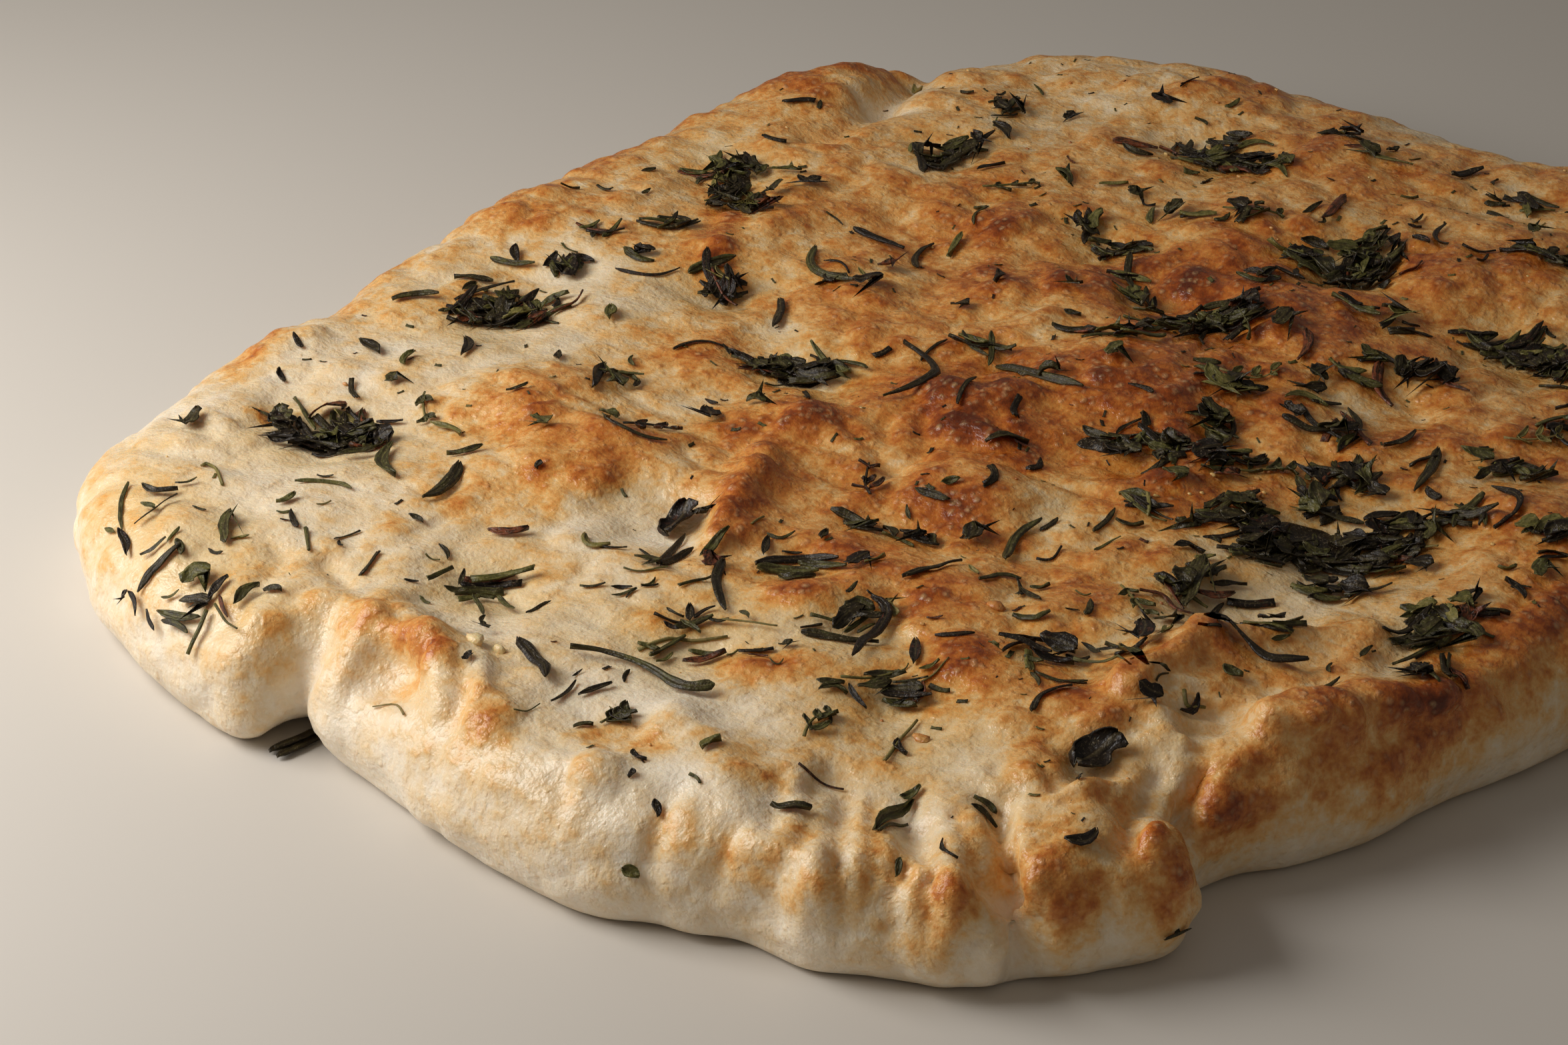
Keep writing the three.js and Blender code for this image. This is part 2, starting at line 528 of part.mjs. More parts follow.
const lifted = bread.translate([0, 0, CLEARANCE]);
BUNCHES.forEach((bunch, i) => {
  const clear = largest(bunchSolid(bunch).subtract(lifted));
  addPiece(`herb_clump_${String(i + 1).padStart(2, "0")}`, clear, herb);
});
for (const [name, kind, ...blade] of LARGE_LEAVES) {
  addPiece(name, largest(toSolid(bladeGeometry(blade, kind, LIFT_LOOSE)).subtract(lifted)), herb);
}
const notchFloor = () => 0;
const [firstNeedle, secondNeedle] = NOTCH_NEEDLES.map((blade) => (
  toSolid(bladeGeometry(blade, "needle", CLEARANCE, notchFloor))
));
const clearOfNotch = [[CLEARANCE, 0, 0], [-CLEARANCE, 0, 0], [0, -CLEARANCE, 0], [0, 0, -CLEARANCE]].reduce(
  (bundle, shift) => bundle.subtract(bread.translate(shift)),
  firstNeedle.add(secondNeedle),
);
addPiece("rosemary_notch", largest(clearOfNotch), herb);

export default group;
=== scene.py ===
# %% [markdown]
# # A focaccia with baked-on herbs
# A focaccia is a flat bread of soft, oily dough. It is pressed out by hand, so its rim is uneven,
# its top has fingertip dimples and hills, and the hills brown first in the oven. Chopped rosemary,
# thyme and sage bake onto the crust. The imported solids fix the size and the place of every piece.
# This script dresses them: it loads them first, and each piece that it makes stands where its solid
# is. Lengths are worked out in millimetres and turned into metres last.

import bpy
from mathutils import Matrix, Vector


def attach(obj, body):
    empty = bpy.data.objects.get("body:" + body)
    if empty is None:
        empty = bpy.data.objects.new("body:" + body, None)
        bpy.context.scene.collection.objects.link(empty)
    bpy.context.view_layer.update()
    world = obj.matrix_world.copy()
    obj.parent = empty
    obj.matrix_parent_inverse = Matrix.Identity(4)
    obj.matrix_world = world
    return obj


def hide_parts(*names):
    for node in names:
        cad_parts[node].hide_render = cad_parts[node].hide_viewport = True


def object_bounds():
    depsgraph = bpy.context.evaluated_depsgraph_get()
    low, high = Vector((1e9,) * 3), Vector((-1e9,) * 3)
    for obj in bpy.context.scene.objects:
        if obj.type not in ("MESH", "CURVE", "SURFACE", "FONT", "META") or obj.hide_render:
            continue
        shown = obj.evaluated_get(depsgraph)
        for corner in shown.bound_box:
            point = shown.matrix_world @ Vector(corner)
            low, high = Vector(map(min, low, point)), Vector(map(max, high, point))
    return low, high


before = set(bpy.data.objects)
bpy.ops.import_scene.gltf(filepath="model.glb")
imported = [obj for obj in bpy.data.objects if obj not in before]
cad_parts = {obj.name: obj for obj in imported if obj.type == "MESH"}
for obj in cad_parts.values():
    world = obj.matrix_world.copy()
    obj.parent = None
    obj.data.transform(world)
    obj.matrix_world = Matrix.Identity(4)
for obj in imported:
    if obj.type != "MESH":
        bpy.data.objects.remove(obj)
cad_low, cad_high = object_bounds()
print("solids:", len(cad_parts), "box, m:", [round(v, 4) for v in (*cad_low, *cad_high)])

# %% [markdown]
# ## Camera and studio
# A long lens from low down at one corner shows the rim as well as the top. The lens and the
# camera's place are worked out from the straight edges of the sheet that the bread was baked on. A
# camera is easiest to aim by its three axes, as the columns of a matrix. The floor is plain. One
# soft, slightly warm lamp stands near the front left corner: its low light throws small shadows
# that show dimples and blisters, and fades towards the back. A dim pale sky fills the rest.

# %% Camera
import bpy
from mathutils import Matrix, Vector

MM = 0.001  # one millimetre in metres
CAMERA_PLACE = Vector((400.8, -582.2, 384.4))  # mm
TO_RIGHT, UPWARDS = Vector((0.78019, 0.62541, 0.01304)), Vector((-0.31582, 0.37583, 0.87122))
FOCAL_LENGTH, SENSOR_WIDTH = 86.31, 36  # mm


def add_object(name, data, *materials):
    """A new object in the scene, from a mesh, a lamp or a camera."""
    thing = bpy.data.objects.new(name, data)
    for material in materials:
        data.materials.append(material)
    bpy.context.scene.collection.objects.link(thing)
    return thing


camera_data = bpy.data.cameras.new("camera")
camera_data.lens, camera_data.sensor_width = FOCAL_LENGTH, SENSOR_WIDTH
camera = add_object("camera", camera_data)
aim = Matrix((TO_RIGHT, UPWARDS, TO_RIGHT.cross(UPWARDS))).transposed().to_4x4()
camera.matrix_world = Matrix.Translation(CAMERA_PLACE * MM) @ aim
bpy.context.scene.camera = camera
bpy.context.scene.view_settings.view_transform = "Standard"
print("camera at", [round(v, 3) for v in camera.location])

# %% Floor, lamp and sky
import bmesh

FLOOR_HALF, FLOOR_DROP = 2.5, 0.1 * MM  # metres
LAMP_PLACE, LAMP_TARGET = Vector((-320, -350, 330)), Vector((-20, -40, 0))  # mm
LAMP_SIZE, LAMP_WATTS, LAMP_COLOUR = 0.34, 2.95, (1.0, 0.97, 0.945)
SKY_COLOUR, SKY_STRENGTH = (1.0, 0.92, 0.83, 1), 0.16


def mesh_from(shape, name):
    """Turns a bmesh into a mesh."""
    mesh = bpy.data.meshes.new(name)
    shape.to_mesh(mesh)
    shape.free()
    return mesh


floor_shape = bmesh.new()
bmesh.ops.create_grid(floor_shape, x_segments=1, y_segments=1, size=FLOOR_HALF)
bmesh.ops.translate(floor_shape, verts=floor_shape.verts, vec=(0, 0, -FLOOR_DROP))
floor_paint = bpy.data.materials.new("pale floor")
floor_paint.use_nodes = True
floor_shader = floor_paint.node_tree.nodes["Principled BSDF"]
floor_shader.inputs["Base Color"].default_value = (0.62, 0.58, 0.52, 1)
floor_shader.inputs["Roughness"].default_value = 0.6
floor = add_object("floor", mesh_from(floor_shape, "floor"), floor_paint)

lamp_data = bpy.data.lights.new("window", "AREA")
lamp_data.size, lamp_data.energy, lamp_data.color = LAMP_SIZE, LAMP_WATTS, LAMP_COLOUR
lamp = add_object("window", lamp_data)
facing = (LAMP_PLACE - LAMP_TARGET).normalized().to_track_quat("Z", "Y")
lamp.matrix_world = Matrix.Translation(LAMP_PLACE * MM) @ facing.to_matrix().to_4x4()
sky = bpy.data.worlds.new("sky")
sky.use_nodes = True
sky.node_tree.nodes["Background"].inputs["Color"].default_value = SKY_COLOUR
sky.node_tree.nodes["Background"].inputs["Strength"].default_value = SKY_STRENGTH
bpy.context.scene.world = sky

# %% [markdown]
# ## The outline of the dough
# Seen from above the bread is a rounded rectangle that a hand has pushed about: a pinched notch in
# front, a folded corner at the front right and a half-torn lobe at the back left. A smooth closed
# line runs through a few dozen points of its widest line. A curve object could hold it too, but
# plain numbers are easier to measure distances to.

# %% Outline
import numpy as np
from mathutils import kdtree


def worth(word):
    """A number as a number, and any other word as it is."""
    return word if word.isalpha() else float(word) if "." in word else int(word)


def table(text):
    """Rows of words and numbers. A comma ends a row, and what follows a # is a note."""
    plain = " ".join(line.split("#")[0] for line in text.split("\n"))
    return [[worth(word) for word in row.split()] for row in plain.split(",")]


OUTLINE = table("""  # x, y in mm, anticlockwise from the lobe at the back left
    -124 131, -134 122, -142 104, -147 70, -149 35, -150 14, -148 -8, -147 -28, -146 -45, -143 -54,
    -141 -63, -143 -73, -142 -86, -140 -100, -136 -116, -132 -133, -125 -147, -114 -158, -98 -168,
    -74 -177, -52 -181, -43 -178.5, -38 -171, -32 -174, -18 -176, 11 -181, 38 -182, 54 -175,
    66 -171, 80 -170, 91 -164, 101 -159, 109 -152, 113 -146, 120 -138, 125 -130, 127 -120, 121 -110,
    123 -98, 130 -88, 136 -73, 140 -52, 147 -30, 151 3, 151 48, 148 88, 141 123, 125 153, 97 171,
    59 179, 23 181, -7 182, -33 180, -57 181, -80 174, -98 162, -110 150, -115 141, -118 135
""")
RIM_STEP = 0.1  # mm between the points of the finished line


def closed_curve(points, steps=60):
    """A smooth closed line through the points."""
    here = np.array(points, float)
    before, after, beyond = (np.roll(here, k, axis=0) for k in (1, -1, -2))
    t = np.linspace(0, 1, steps, endpoint=False)[:, None, None]
    bend, twist = 2 * before - 5 * here + 4 * after - beyond, 3 * here - before - 3 * after + beyond
    line = 0.5 * (2 * here + (after - before) * t + bend * t**2 + twist * t**3)
    return line.transpose(1, 0, 2).reshape(-1, 2)


def even_loop(line, spacing):
    """Points at an even spacing round a closed line."""
    shut = np.vstack([line, line[:1]])
    walked = np.concatenate([[0], np.cumsum(np.linalg.norm(np.diff(shut, axis=0), axis=1))])
    stops = np.arange(round(walked[-1] / spacing)) * spacing
    return np.stack([np.interp(stops, walked, shut[:, k]) for k in (0, 1)], axis=1)


def finder_of(places):
    """A tree that finds the places near a point."""
    tree = kdtree.KDTree(len(places))
    for k, place in enumerate(places):
        tree.insert(place, k)
    tree.balance()
    return tree


rim_line = even_loop(closed_curve(OUTLINE), RIM_STEP)
rim_finder = finder_of([(x, y, 0) for x, y in rim_line])


def depth_inside(x, y):
    """How far each point of the footprint lies from the outline."""
    return np.array([rim_finder.find((a, b, 0))[2] for a, b in zip(x, y)])


print("outline:", round(len(rim_line) * RIM_STEP), "mm round")

# %% [markdown]
# ## The height of the crust
# The top is a low pillow: level in the middle and rounded down to the widest line of the side.
# Fingertips press dimples into it, gas lifts hills, and folds in the dough leave ridges and
# creases. Sculpting by hand would do, but a height that is a sum of simple mounds can be read,
# changed and computed at any point, so the solids use the same sum.

# %% Mounds and folds
CROWN, LEAN = 24, 0.012  # height of the top, and its rise for each millimetre to the right
BELLY, UNDERCUT = 9, 4.8  # height of the widest line, and how much narrower the base is
SHOULDER, SHOULDER_POWER = 17, 2.2  # width and squareness of the rounded rim
PRESSED = table("""  # dimples and hollows: x, y, reach along and across, turn in degrees, height
    -94 -109 15 14 0 -4, -24 -136 13 11 20 -3, -14 -93 11 9 0 -3.5, 93 -17 20 17 0 -4.5,
    93 -49 13 12 0 -3, -7 -2 16 11 30 -3, -32 -27 14 11 0 -3, -105 -37 13 19 10 -4,
    -107 33 22 10 -40 -3.5, -75 88 12 12 0 -3, -27 123 15 12 0 -3.5, -22 68 12 12 0 -3,
    13 50 20 9 -25 -3.5, 28 93 14 13 0 -4, 78 78 15 12 0 -3.5, 68 43 12 11 0 -3, 38 -15 13 10 0 -3,
    50 8 11 9 0 -3, 18 -67 17 8 10 -2.5, 41 -100 11 13 0 -2.5, 16 -92 10 9 0 -2,
    59 -118 12 10 0 -2.5, 76 -88 12 11 0 -2.5, 22 -126 14 8 0 -2, -64 -172 12 10 30 -1.5,
    125 -38 11 13 0 -2.5, -72 -5 13 9 0 -3, 40 140 16 11 20 -2.5, 101 110 16 12 40 -3,
    120 55 12 16 0 -2.5, 108 -88 8 15 -20 -5, 101 -113 8 9 0 -3, 118 -107 6 6 0 -3.5,
    -17 -168 9 7 0 -4, -25 -173 5 8 0 -2.5, 62 -158 7 6 0 -2.5
""")
HILLS = table("""  # hills, in the same columns
    -69 -69 16 14 0 3.5, -42 -79 14 12 0 3, -22 -42 14 13 0 3, 25 -102 11 9 0 2, 48 -85 9 8 0 1.5,
    3 -17 19 15 20 4, 23 -42 15 11 0 2.5, 23 13 20 16 0 4, 38 63 17 16 0 3.5, 63 58 11 10 0 2,
    53 108 20 15 0 4, -17 43 14 12 0 3, -42 63 14 13 0 3, -87 18 10 18 0 2.5, -52 18 13 13 0 2.5,
    -57 -32 12 11 0 2, -122 100 11 20 15 3, -57 148 20 13 0 2.5, -7 146 16 11 0 2,
    122 -124 8 7 0 3.5, 113 -143 8 8 0 4, 98 -156 7 6 0 3, -32 -162 9 7 0 2, -45 -170 8 6 0 1.5,
    32 -170 9 6 0 2, 7 -170 8 6 0 1.5, -127 -82 7 9 0 2, 120 15 13 18 0 2.5, 95 145 18 12 -30 2.5,
    122 90 12 16 0 2
""")
FOLDS = table("""  # pleats, ridges and creases: from x, y, to x, y, reach, height
    -15 -62 -3 -92 5 3.5, 133 -53 124 -79 6 3.5, 124 -79 121 -99 6 4, 94 -68 113 -42 6 2.5,
    93 -69 93 -92 4 2.5, 93 -92 105 -97 4 2, 96 -134 105 -147 5 -3, 105 -147 109 -156 5 -4,
    110 -107 117 -127 5 -2.5, 80 -141 92 -152 5 -2, 68 -144 78 -158 5 -2, 54 -158 60 -164 5 2,
    -33 -152 -8 -160 5 2, -18 -157 -1 -167 4.5 2.5, 32 -148 48 -153 5 1.8, 94 -122 110 -130 5 2,
    -117 130 -110 100 5 -5, -110 100 -106 74 5 -3
""")


def lattice(i, j, k, seed):
    """A fixed number from 0 to 1 for each lattice point."""
    value = np.sin(i * 127.1 + j * 311.7 + k * 191.3 + seed * 74.7) * 43758.5453
    return value - np.floor(value)


def swell(x, y, z, wavelength, seed):
    """Smooth unevenness from -1 to 1, in three directions, so that the rim doesn't stretch it."""
    place = np.stack([x, y, z]) / wavelength
    low = np.floor(place)
    a, b, c = (t * t * t * (t * (t * 6 - 15) + 10) for t in place - low)
    total = 0
    for di, wi in ((0, 1 - a), (1, a)):
        for dj, wj in ((0, 1 - b), (1, b)):
            for dk, wk in ((0, 1 - c), (1, c)):
                total = total + wi * wj * wk * lattice(low[0] + di, low[1] + dj, low[2] + dk, seed)
    return total * 2 - 1


def mounds_at(x, y, mounds):
    """The sum of oval mounds at each point."""
    total = np.zeros_like(x)
    for mx, my, along, across, turn, height in mounds:
        c, s = np.cos(np.radians(turn)), np.sin(np.radians(turn))
        u, v = ((x - mx) * c + (y - my) * s) / along, ((y - my) * c - (x - mx) * s) / across
        total += height * np.exp(-(u * u + v * v))
    return total


def folds_at(x, y, folds):
    """The sum of ridges and creases at each point."""
    total = np.zeros_like(x)
    for x0, y0, x1, y1, reach, height in folds:
        dx, dy = x1 - x0, y1 - y0
        t = np.clip(((x - x0) * dx + (y - y0) * dy) / (dx * dx + dy * dy), 0, 1)
        total += height * np.exp(-((x - x0 - t * dx) ** 2 + (y - y0 - t * dy) ** 2) / reach**2)
    return total


def relief_at(x, y):
    """Hills above and dimples below the plain pillow."""
    flat = np.zeros_like(x)
    slow = 2.0 * swell(x, y, flat, 47, 1) + 1.3 * swell(x, y, flat, 23, 2)
    return slow + mounds_at(x, y, PRESSED + HILLS) + folds_at(x, y, FOLDS)


def crust_height(x, y, depth):
    """The crust's height, from its depth inside the outline."""
    top = CROWN + LEAN * x + relief_at(x, y)
    q = np.clip(1 - depth / SHOULDER, 0, 1)
    return BELLY + (top - BELLY) * (1 - q**SHOULDER_POWER) ** (1 / SHOULDER_POWER)


middle = np.zeros(1)
print("height in the middle:", round(float(crust_height(middle, middle, SHOULDER)[0]), 1), "mm")

# %% [markdown]
# ## The skin of the bread
# The skin is one grid, bent from a square to the outline like cloth pulled over a pillow. Its rows
# crowd together on the rounded rim, where the surface turns quickly. The grid's open edge is
# extruded down the side in a few rows and closed by a flat base. A subdivided box would waste its
# faces on the base, and a remesh would not keep rows along the rim.

# %% Grid, side and base
ACROSS, ALONG = 252, 304  # cells
SIDE_LEVELS = [7.6, 6.2, 4.8, 3.4, 2.2, 1.1, 0.3, 0]  # heights of the rows below the widest line
dough = bmesh.new()
bmesh.ops.create_grid(dough, x_segments=ACROSS, y_segments=ALONG, size=1)
level_of = dough.verts.layers.float.new("level")
for v in dough.verts:
    v[level_of] = BELLY
edge_loop = [e for e in dough.edges if e.is_boundary]
for level in SIDE_LEVELS:
    grown = bmesh.ops.extrude_edge_only(dough, edges=edge_loop)["geom"]
    edge_loop = [g for g in grown if isinstance(g, bmesh.types.BMEdge)]
    for v in (g for g in grown if isinstance(g, bmesh.types.BMVert)):
        v[level_of] = level
bmesh.ops.contextual_create(dough, geom=edge_loop)
u, v, level = np.array([(p.co.x, p.co.y, p[level_of]) for p in dough.verts]).T
print("grid with sides:", len(dough.verts), "points")

# %% Bend the grid to the outline
LENGTH, WIDTH = 364, 302
CORNER_ROUNDING = 0.6  # 0 is a rectangular grid, 1 an elliptical one
RIM_PULL = 4  # how quickly the rows forget the outline on their way inwards
RIM_SHARE, RIM_DEPTH = 0.84, 0.105  # the rows from this share outwards crowd into this depth
NOTCH, NOTCH_REACH = np.array([-38, -171]), 7
NOTCH_CAVE = 9  # a low cave goes this far in under the notch's lip
NEIGHBOUR = 30  # the rim's direction is taken between points this many steps to either side
EDGE = 1 - 1e-6  # a grid place beyond this lies on the rim
TINY = 1e-9  # the least that anything is divided by


def plain_point(u, v):
    """The point of a plain round-cornered grid."""
    x = 1 + (np.sqrt(1 - v * v / 2) - 1) * CORNER_ROUNDING
    y = 1 + (np.sqrt(1 - u * u / 2) - 1) * CORNER_ROUNDING
    return np.stack([u * x * WIDTH / 2, v * y * LENGTH / 2], axis=1)


aims = [np.arctan2(sy * LENGTH, sx * WIDTH) for sx, sy in ((-1, -1), (1, -1), (1, 1), (-1, 1))]
angles = np.arctan2(rim_line[:, 1], rim_line[:, 0])
corners = [int(np.abs(angles - aim).argmin()) for aim in aims]
runs = [(corners[(k + 1) % 4] - corners[k]) % len(rim_line) for k in range(4)]


def rim_place(u, v, ring):
    """Which point of the outline a line from the middle through a grid point meets."""
    a, b = u / ring, v / ring
    side = np.select([b <= -EDGE, a >= EDGE, b >= EDGE], [0, 1, 2], 3)
    share = (1 + np.choose(side, [a, b, -a, -b])) / 2
    return np.array(corners)[side] + share * np.array(runs)[side]


ring = np.maximum(np.maximum(np.abs(u), np.abs(v)), TINY)
shoulder_share = np.clip((ring - RIM_SHARE) / (1 - RIM_SHARE), 0, 1)
wanted = np.where(ring < RIM_SHARE, ring * (1 - RIM_DEPTH) / RIM_SHARE,
                  1 - RIM_DEPTH * (1 - np.sin(shoulder_share * np.pi / 2)))
place = rim_place(u, v, ring).astype(int) % len(rim_line)
u, v, ring = u * wanted / ring, v * wanted / ring, np.maximum(wanted, TINY)
stretch = (ring**RIM_PULL)[:, None] * (rim_line[place] - plain_point(u / ring, v / ring))
foot = plain_point(u, v) + stretch
ahead, behind = ((place + step) % len(rim_line) for step in (NEIGHBOUR, -NEIGHBOUR))
run = rim_line[ahead] - rim_line[behind]
inwards = np.stack([-run[:, 1], run[:, 0]], axis=1) / np.linalg.norm(run, axis=1)[:, None]
drop = (BELLY - level) / BELLY
cave = NOTCH_CAVE * drop**2 * np.exp(-((foot - NOTCH) ** 2).sum(1) / NOTCH_REACH**2)
foot += inwards * (UNDERCUT * (1 - np.sqrt(1 - drop**2)) + cave)[:, None]
on_rim = ring > EDGE
depth = np.where(on_rim, 0, depth_inside(*foot.T))
height = np.where(on_rim, level, crust_height(*foot.T, depth))
for p, (x, y), z in zip(dough.verts, foot, height):
    p.co = (x * MM, y * MM, z * MM)
bmesh.ops.recalc_face_normals(dough, faces=dough.faces)
print("skin:", [round(float(t), 1) for t in (*foot.min(0), *foot.max(0), height.max())], "mm")

# %% [markdown]
# ## Fine relief
# Up close the crust isn't a smooth pillow. The dough wrinkles where it was folded, pleats run down
# the front corner, and a torn edge and stretched strands stay where a hand pulled it. This is real
# relief, so the points move along their own normals. A displacement texture would be lost when the
# model is exported. Folds fade towards the base, because a fold is known only as seen from above,
# and would run down the side as a straight flute.

# %% Small folds and lumps
SMALL_FOLDS = table("""  # from x, y, to x, y, reach, height
    # the folded front right corner: one deep crease with a raised lip, and the pleats beside it
    96 -135 103 -142 2.2 -2.8, 103 -142 107 -147 2.3 -4, 107 -147 112 -149 2.1 -3.7,
    98 -131 105 -141 2.2 1.7, 105 -141 111 -145 2.3 2, 91 -140 102 -149 1.8 -2,
    86 -145 97 -156 1.9 -2.5, 97 -156 101 -161 1.9 -1.9, 81 -142 92 -157 1.8 -2.2,
    76 -144 88 -161 1.8 -2, 71 -146 82 -162 1.7 -1.7, 66 -148 75 -163 1.6 -1.4,
    60 -150 68 -163 1.5 -1.1, 89 -152 102 -158 1.6 0.9, 81 -163 87 -168 1.6 -1.7,
    103 -127 108 -114 2 1.9, 94 -121 104 -127 1.8 -2, 119 -136 122 -138 1.6 -1.6,
    86 -128 92 -130 1.8 1.2, 90 -158 95 -164 1.7 -1.7,
    # the deep crease between that corner and the ridge
    112 -96 116 -102 1.9 -1.9, 116 -102 117 -108 2.1 -2.6, 117 -108 121 -112 2.4 -3,
    110 -107 113 -120 1.9 -1.8, 113 -120 118 -128 1.9 -2.2, 118 -112 126 -116 1.7 -1.2,
    # the sharp crest of the ridge, and the torn strands in the hollow behind it
    113 -79 120 -85 1.9 1.6, 120 -85 125 -81 1.9 1.6, 125 -81 128 -74 1.9 1.8,
    128 -74 131 -61 1.9 1.6, 131 -61 135 -53 1.9 1.4, 135 -53 138 -38 2 1, 97 -92 103 -85 1.2 0.9,
    101 -95 108 -87 1.3 0.9, 98 -84 104 -79 1.2 0.9, 105 -82 111 -76 1.3 0.9, 93 -69 95 -78 2 1.2,
    95 -78 93 -92 2 1.2, 103 -96 109 -97 2 1.2, 94 -68 105 -52 2.2 1.1, 105 -52 113 -42 2.2 0.8,
    139 -70 138 -79 1.8 -1.1, 143 -38 147 -34 1.6 -1.1,
    # the front rim: steps and creases where it was pushed in
    49 -167 52 -178 1.9 -1.3, 63 -168 62 -178 1.9 -1.4, 67 -166 79 -164 2 1.2,
    76 -162 83 -166 1.8 1.1, 83 -166 87 -169 1.8 1.1, 80 -168 81 -171 1.8 0.9,
    74 -171 64 -176 1.9 -1, 28 -168 33 -178 1.9 -0.7, 38 -180 54 -175 1.5 -0.5,
    16 -178 40 -179 1.3 0.4, 12 -180 34 -181 1.2 -0.4,
    # the notch: its lips, the hollow at its right, stretched strands and the torn edge beyond
    -42 -158 -30 -159 2.6 1.1, -30 -159 -16 -160 2.4 1, -16 -160 -10 -164 2.3 1.2,
    -10 -164 -2 -171 2.3 1.4, -7 -161 0 -167 2 -1.5, 0 -167 4 -173 2 -1.3, -5 -156 3 -166 1.4 1.3,
    3 -166 6 -173 1.4 1.1, -27 -174 -28 -165 2.2 0.9, 2 -157 4 -172 1.5 -0.4,
    -44 -166 -48 -172 2.2 0.8, -52 -149 -44 -152 2.4 -1.3, -60 -154 -56 -163 2 -1,
    -66 -150 -52 -158 2 -0.5,
    # creases across the top
    -13 -66 -5 -86 2.4 0.9, -6 -20 8 -40 1.8 -1.2, 4 -44 26 -32 1.8 -1.2, 26 -32 48 -30 1.8 -1.1,
    30 -20 55 -12 1.7 -0.9, -12 -40 10 -48 1.8 -1, -98 12 -86 4 2.4 0.6, -103 32 -86 10 2.6 0.9,
    -70 52 -48 44 2 -0.8, 0 84 22 74 2 -0.9, 60 20 84 8 2 -0.8, 52 78 70 92 2 -0.8
""")
SMALL_LUMPS = table("""  # x, y, reach along and across, turn in degrees, height
    122 -126 5 4 0 1.4, 115 -142 5 5 30 1.4, 101 -156 4 4 0 1.2, 107 -152 4 3 0 1.3,
    112 -149 3 3 0 -5, 107 -122 4 3 0 0.8, 114 -109 4 3 0 0.8, 95 -165 4 3 20 -0.8,
    56 -171 6 5 0 1.2, 73 -171 6 5 0 -1.6, -18 -167 7 5 0 -1.6, -37 -168 5 4 0 -1.2,
    18 -178 5 3 0 0.6, 10 -170 6 4 20 0.8, 32 -170 5 4 0 0.6, 101 -113 5 4 0 -1, 110 -87 6 3 -40 -1,
    132 -84 7 6 0 -1.3, 119 -107 4 4 0 -0.8, -50 -158 5 4 0 0.6, -2 -15 5 4 0 0.8, 9 -8 5 5 0 0.8,
    -10 -28 5 4 0 0.7, 20 -26 5 5 0 0.7, 33 10 6 5 0 0.8, -42 -78 5 4 0 0.8, -62 -82 6 4 0 0.8,
    -22 -42 5 5 0 0.8, -53 -120 8 5 0 0.7, 10 -125 6 5 0 0.7, 34 -128 6 5 0 0.7, 76 -112 7 6 0 0.8,
    60 -98 7 5 0 0.7, -18 -112 7 6 0 0.6, -86 -136 8 6 0 0.6, -110 -88 7 7 0 0.6
""")
FOLD_FOOT, FOLD_FADE, FOLD_LEAST = 7, 10, 0.1  # a fold fades from 17 mm high to a tenth near 8 mm
STILL_BELOW = 4  # mm, points under this height move less and less
bread_mesh = mesh_from(dough, "bread")


def read_rows(values, name):
    """Reads x, y, z of each value, as rows."""
    flat = np.empty(len(values) * 3)
    values.foreach_get(name, flat)
    return flat.reshape(-1, 3)


def push_out(mesh, amount):
    """Moves each point along its normal, in millimetres. Points near the floor stay."""
    points = read_rows(mesh.vertices, "co")
    ease = np.clip(points[:, 2] / (STILL_BELOW * MM), 0, 1)
    points += read_rows(mesh.vertex_normals, "vector") * (amount * ease * MM)[:, None]
    points[:, 2] = np.maximum(points[:, 2], 0)
    mesh.vertices.foreach_set("co", points.ravel())
    mesh.update()


x, y, z = read_rows(bread_mesh.vertices, "co").T / MM
high_up = np.clip((z - FOLD_FOOT) / FOLD_FADE, FOLD_LEAST, 1)
push_out(bread_mesh, high_up * folds_at(x, y, SMALL_FOLDS) + mounds_at(x, y, SMALL_LUMPS))
print("small folds and lumps:", len(SMALL_FOLDS) + len(SMALL_LUMPS))
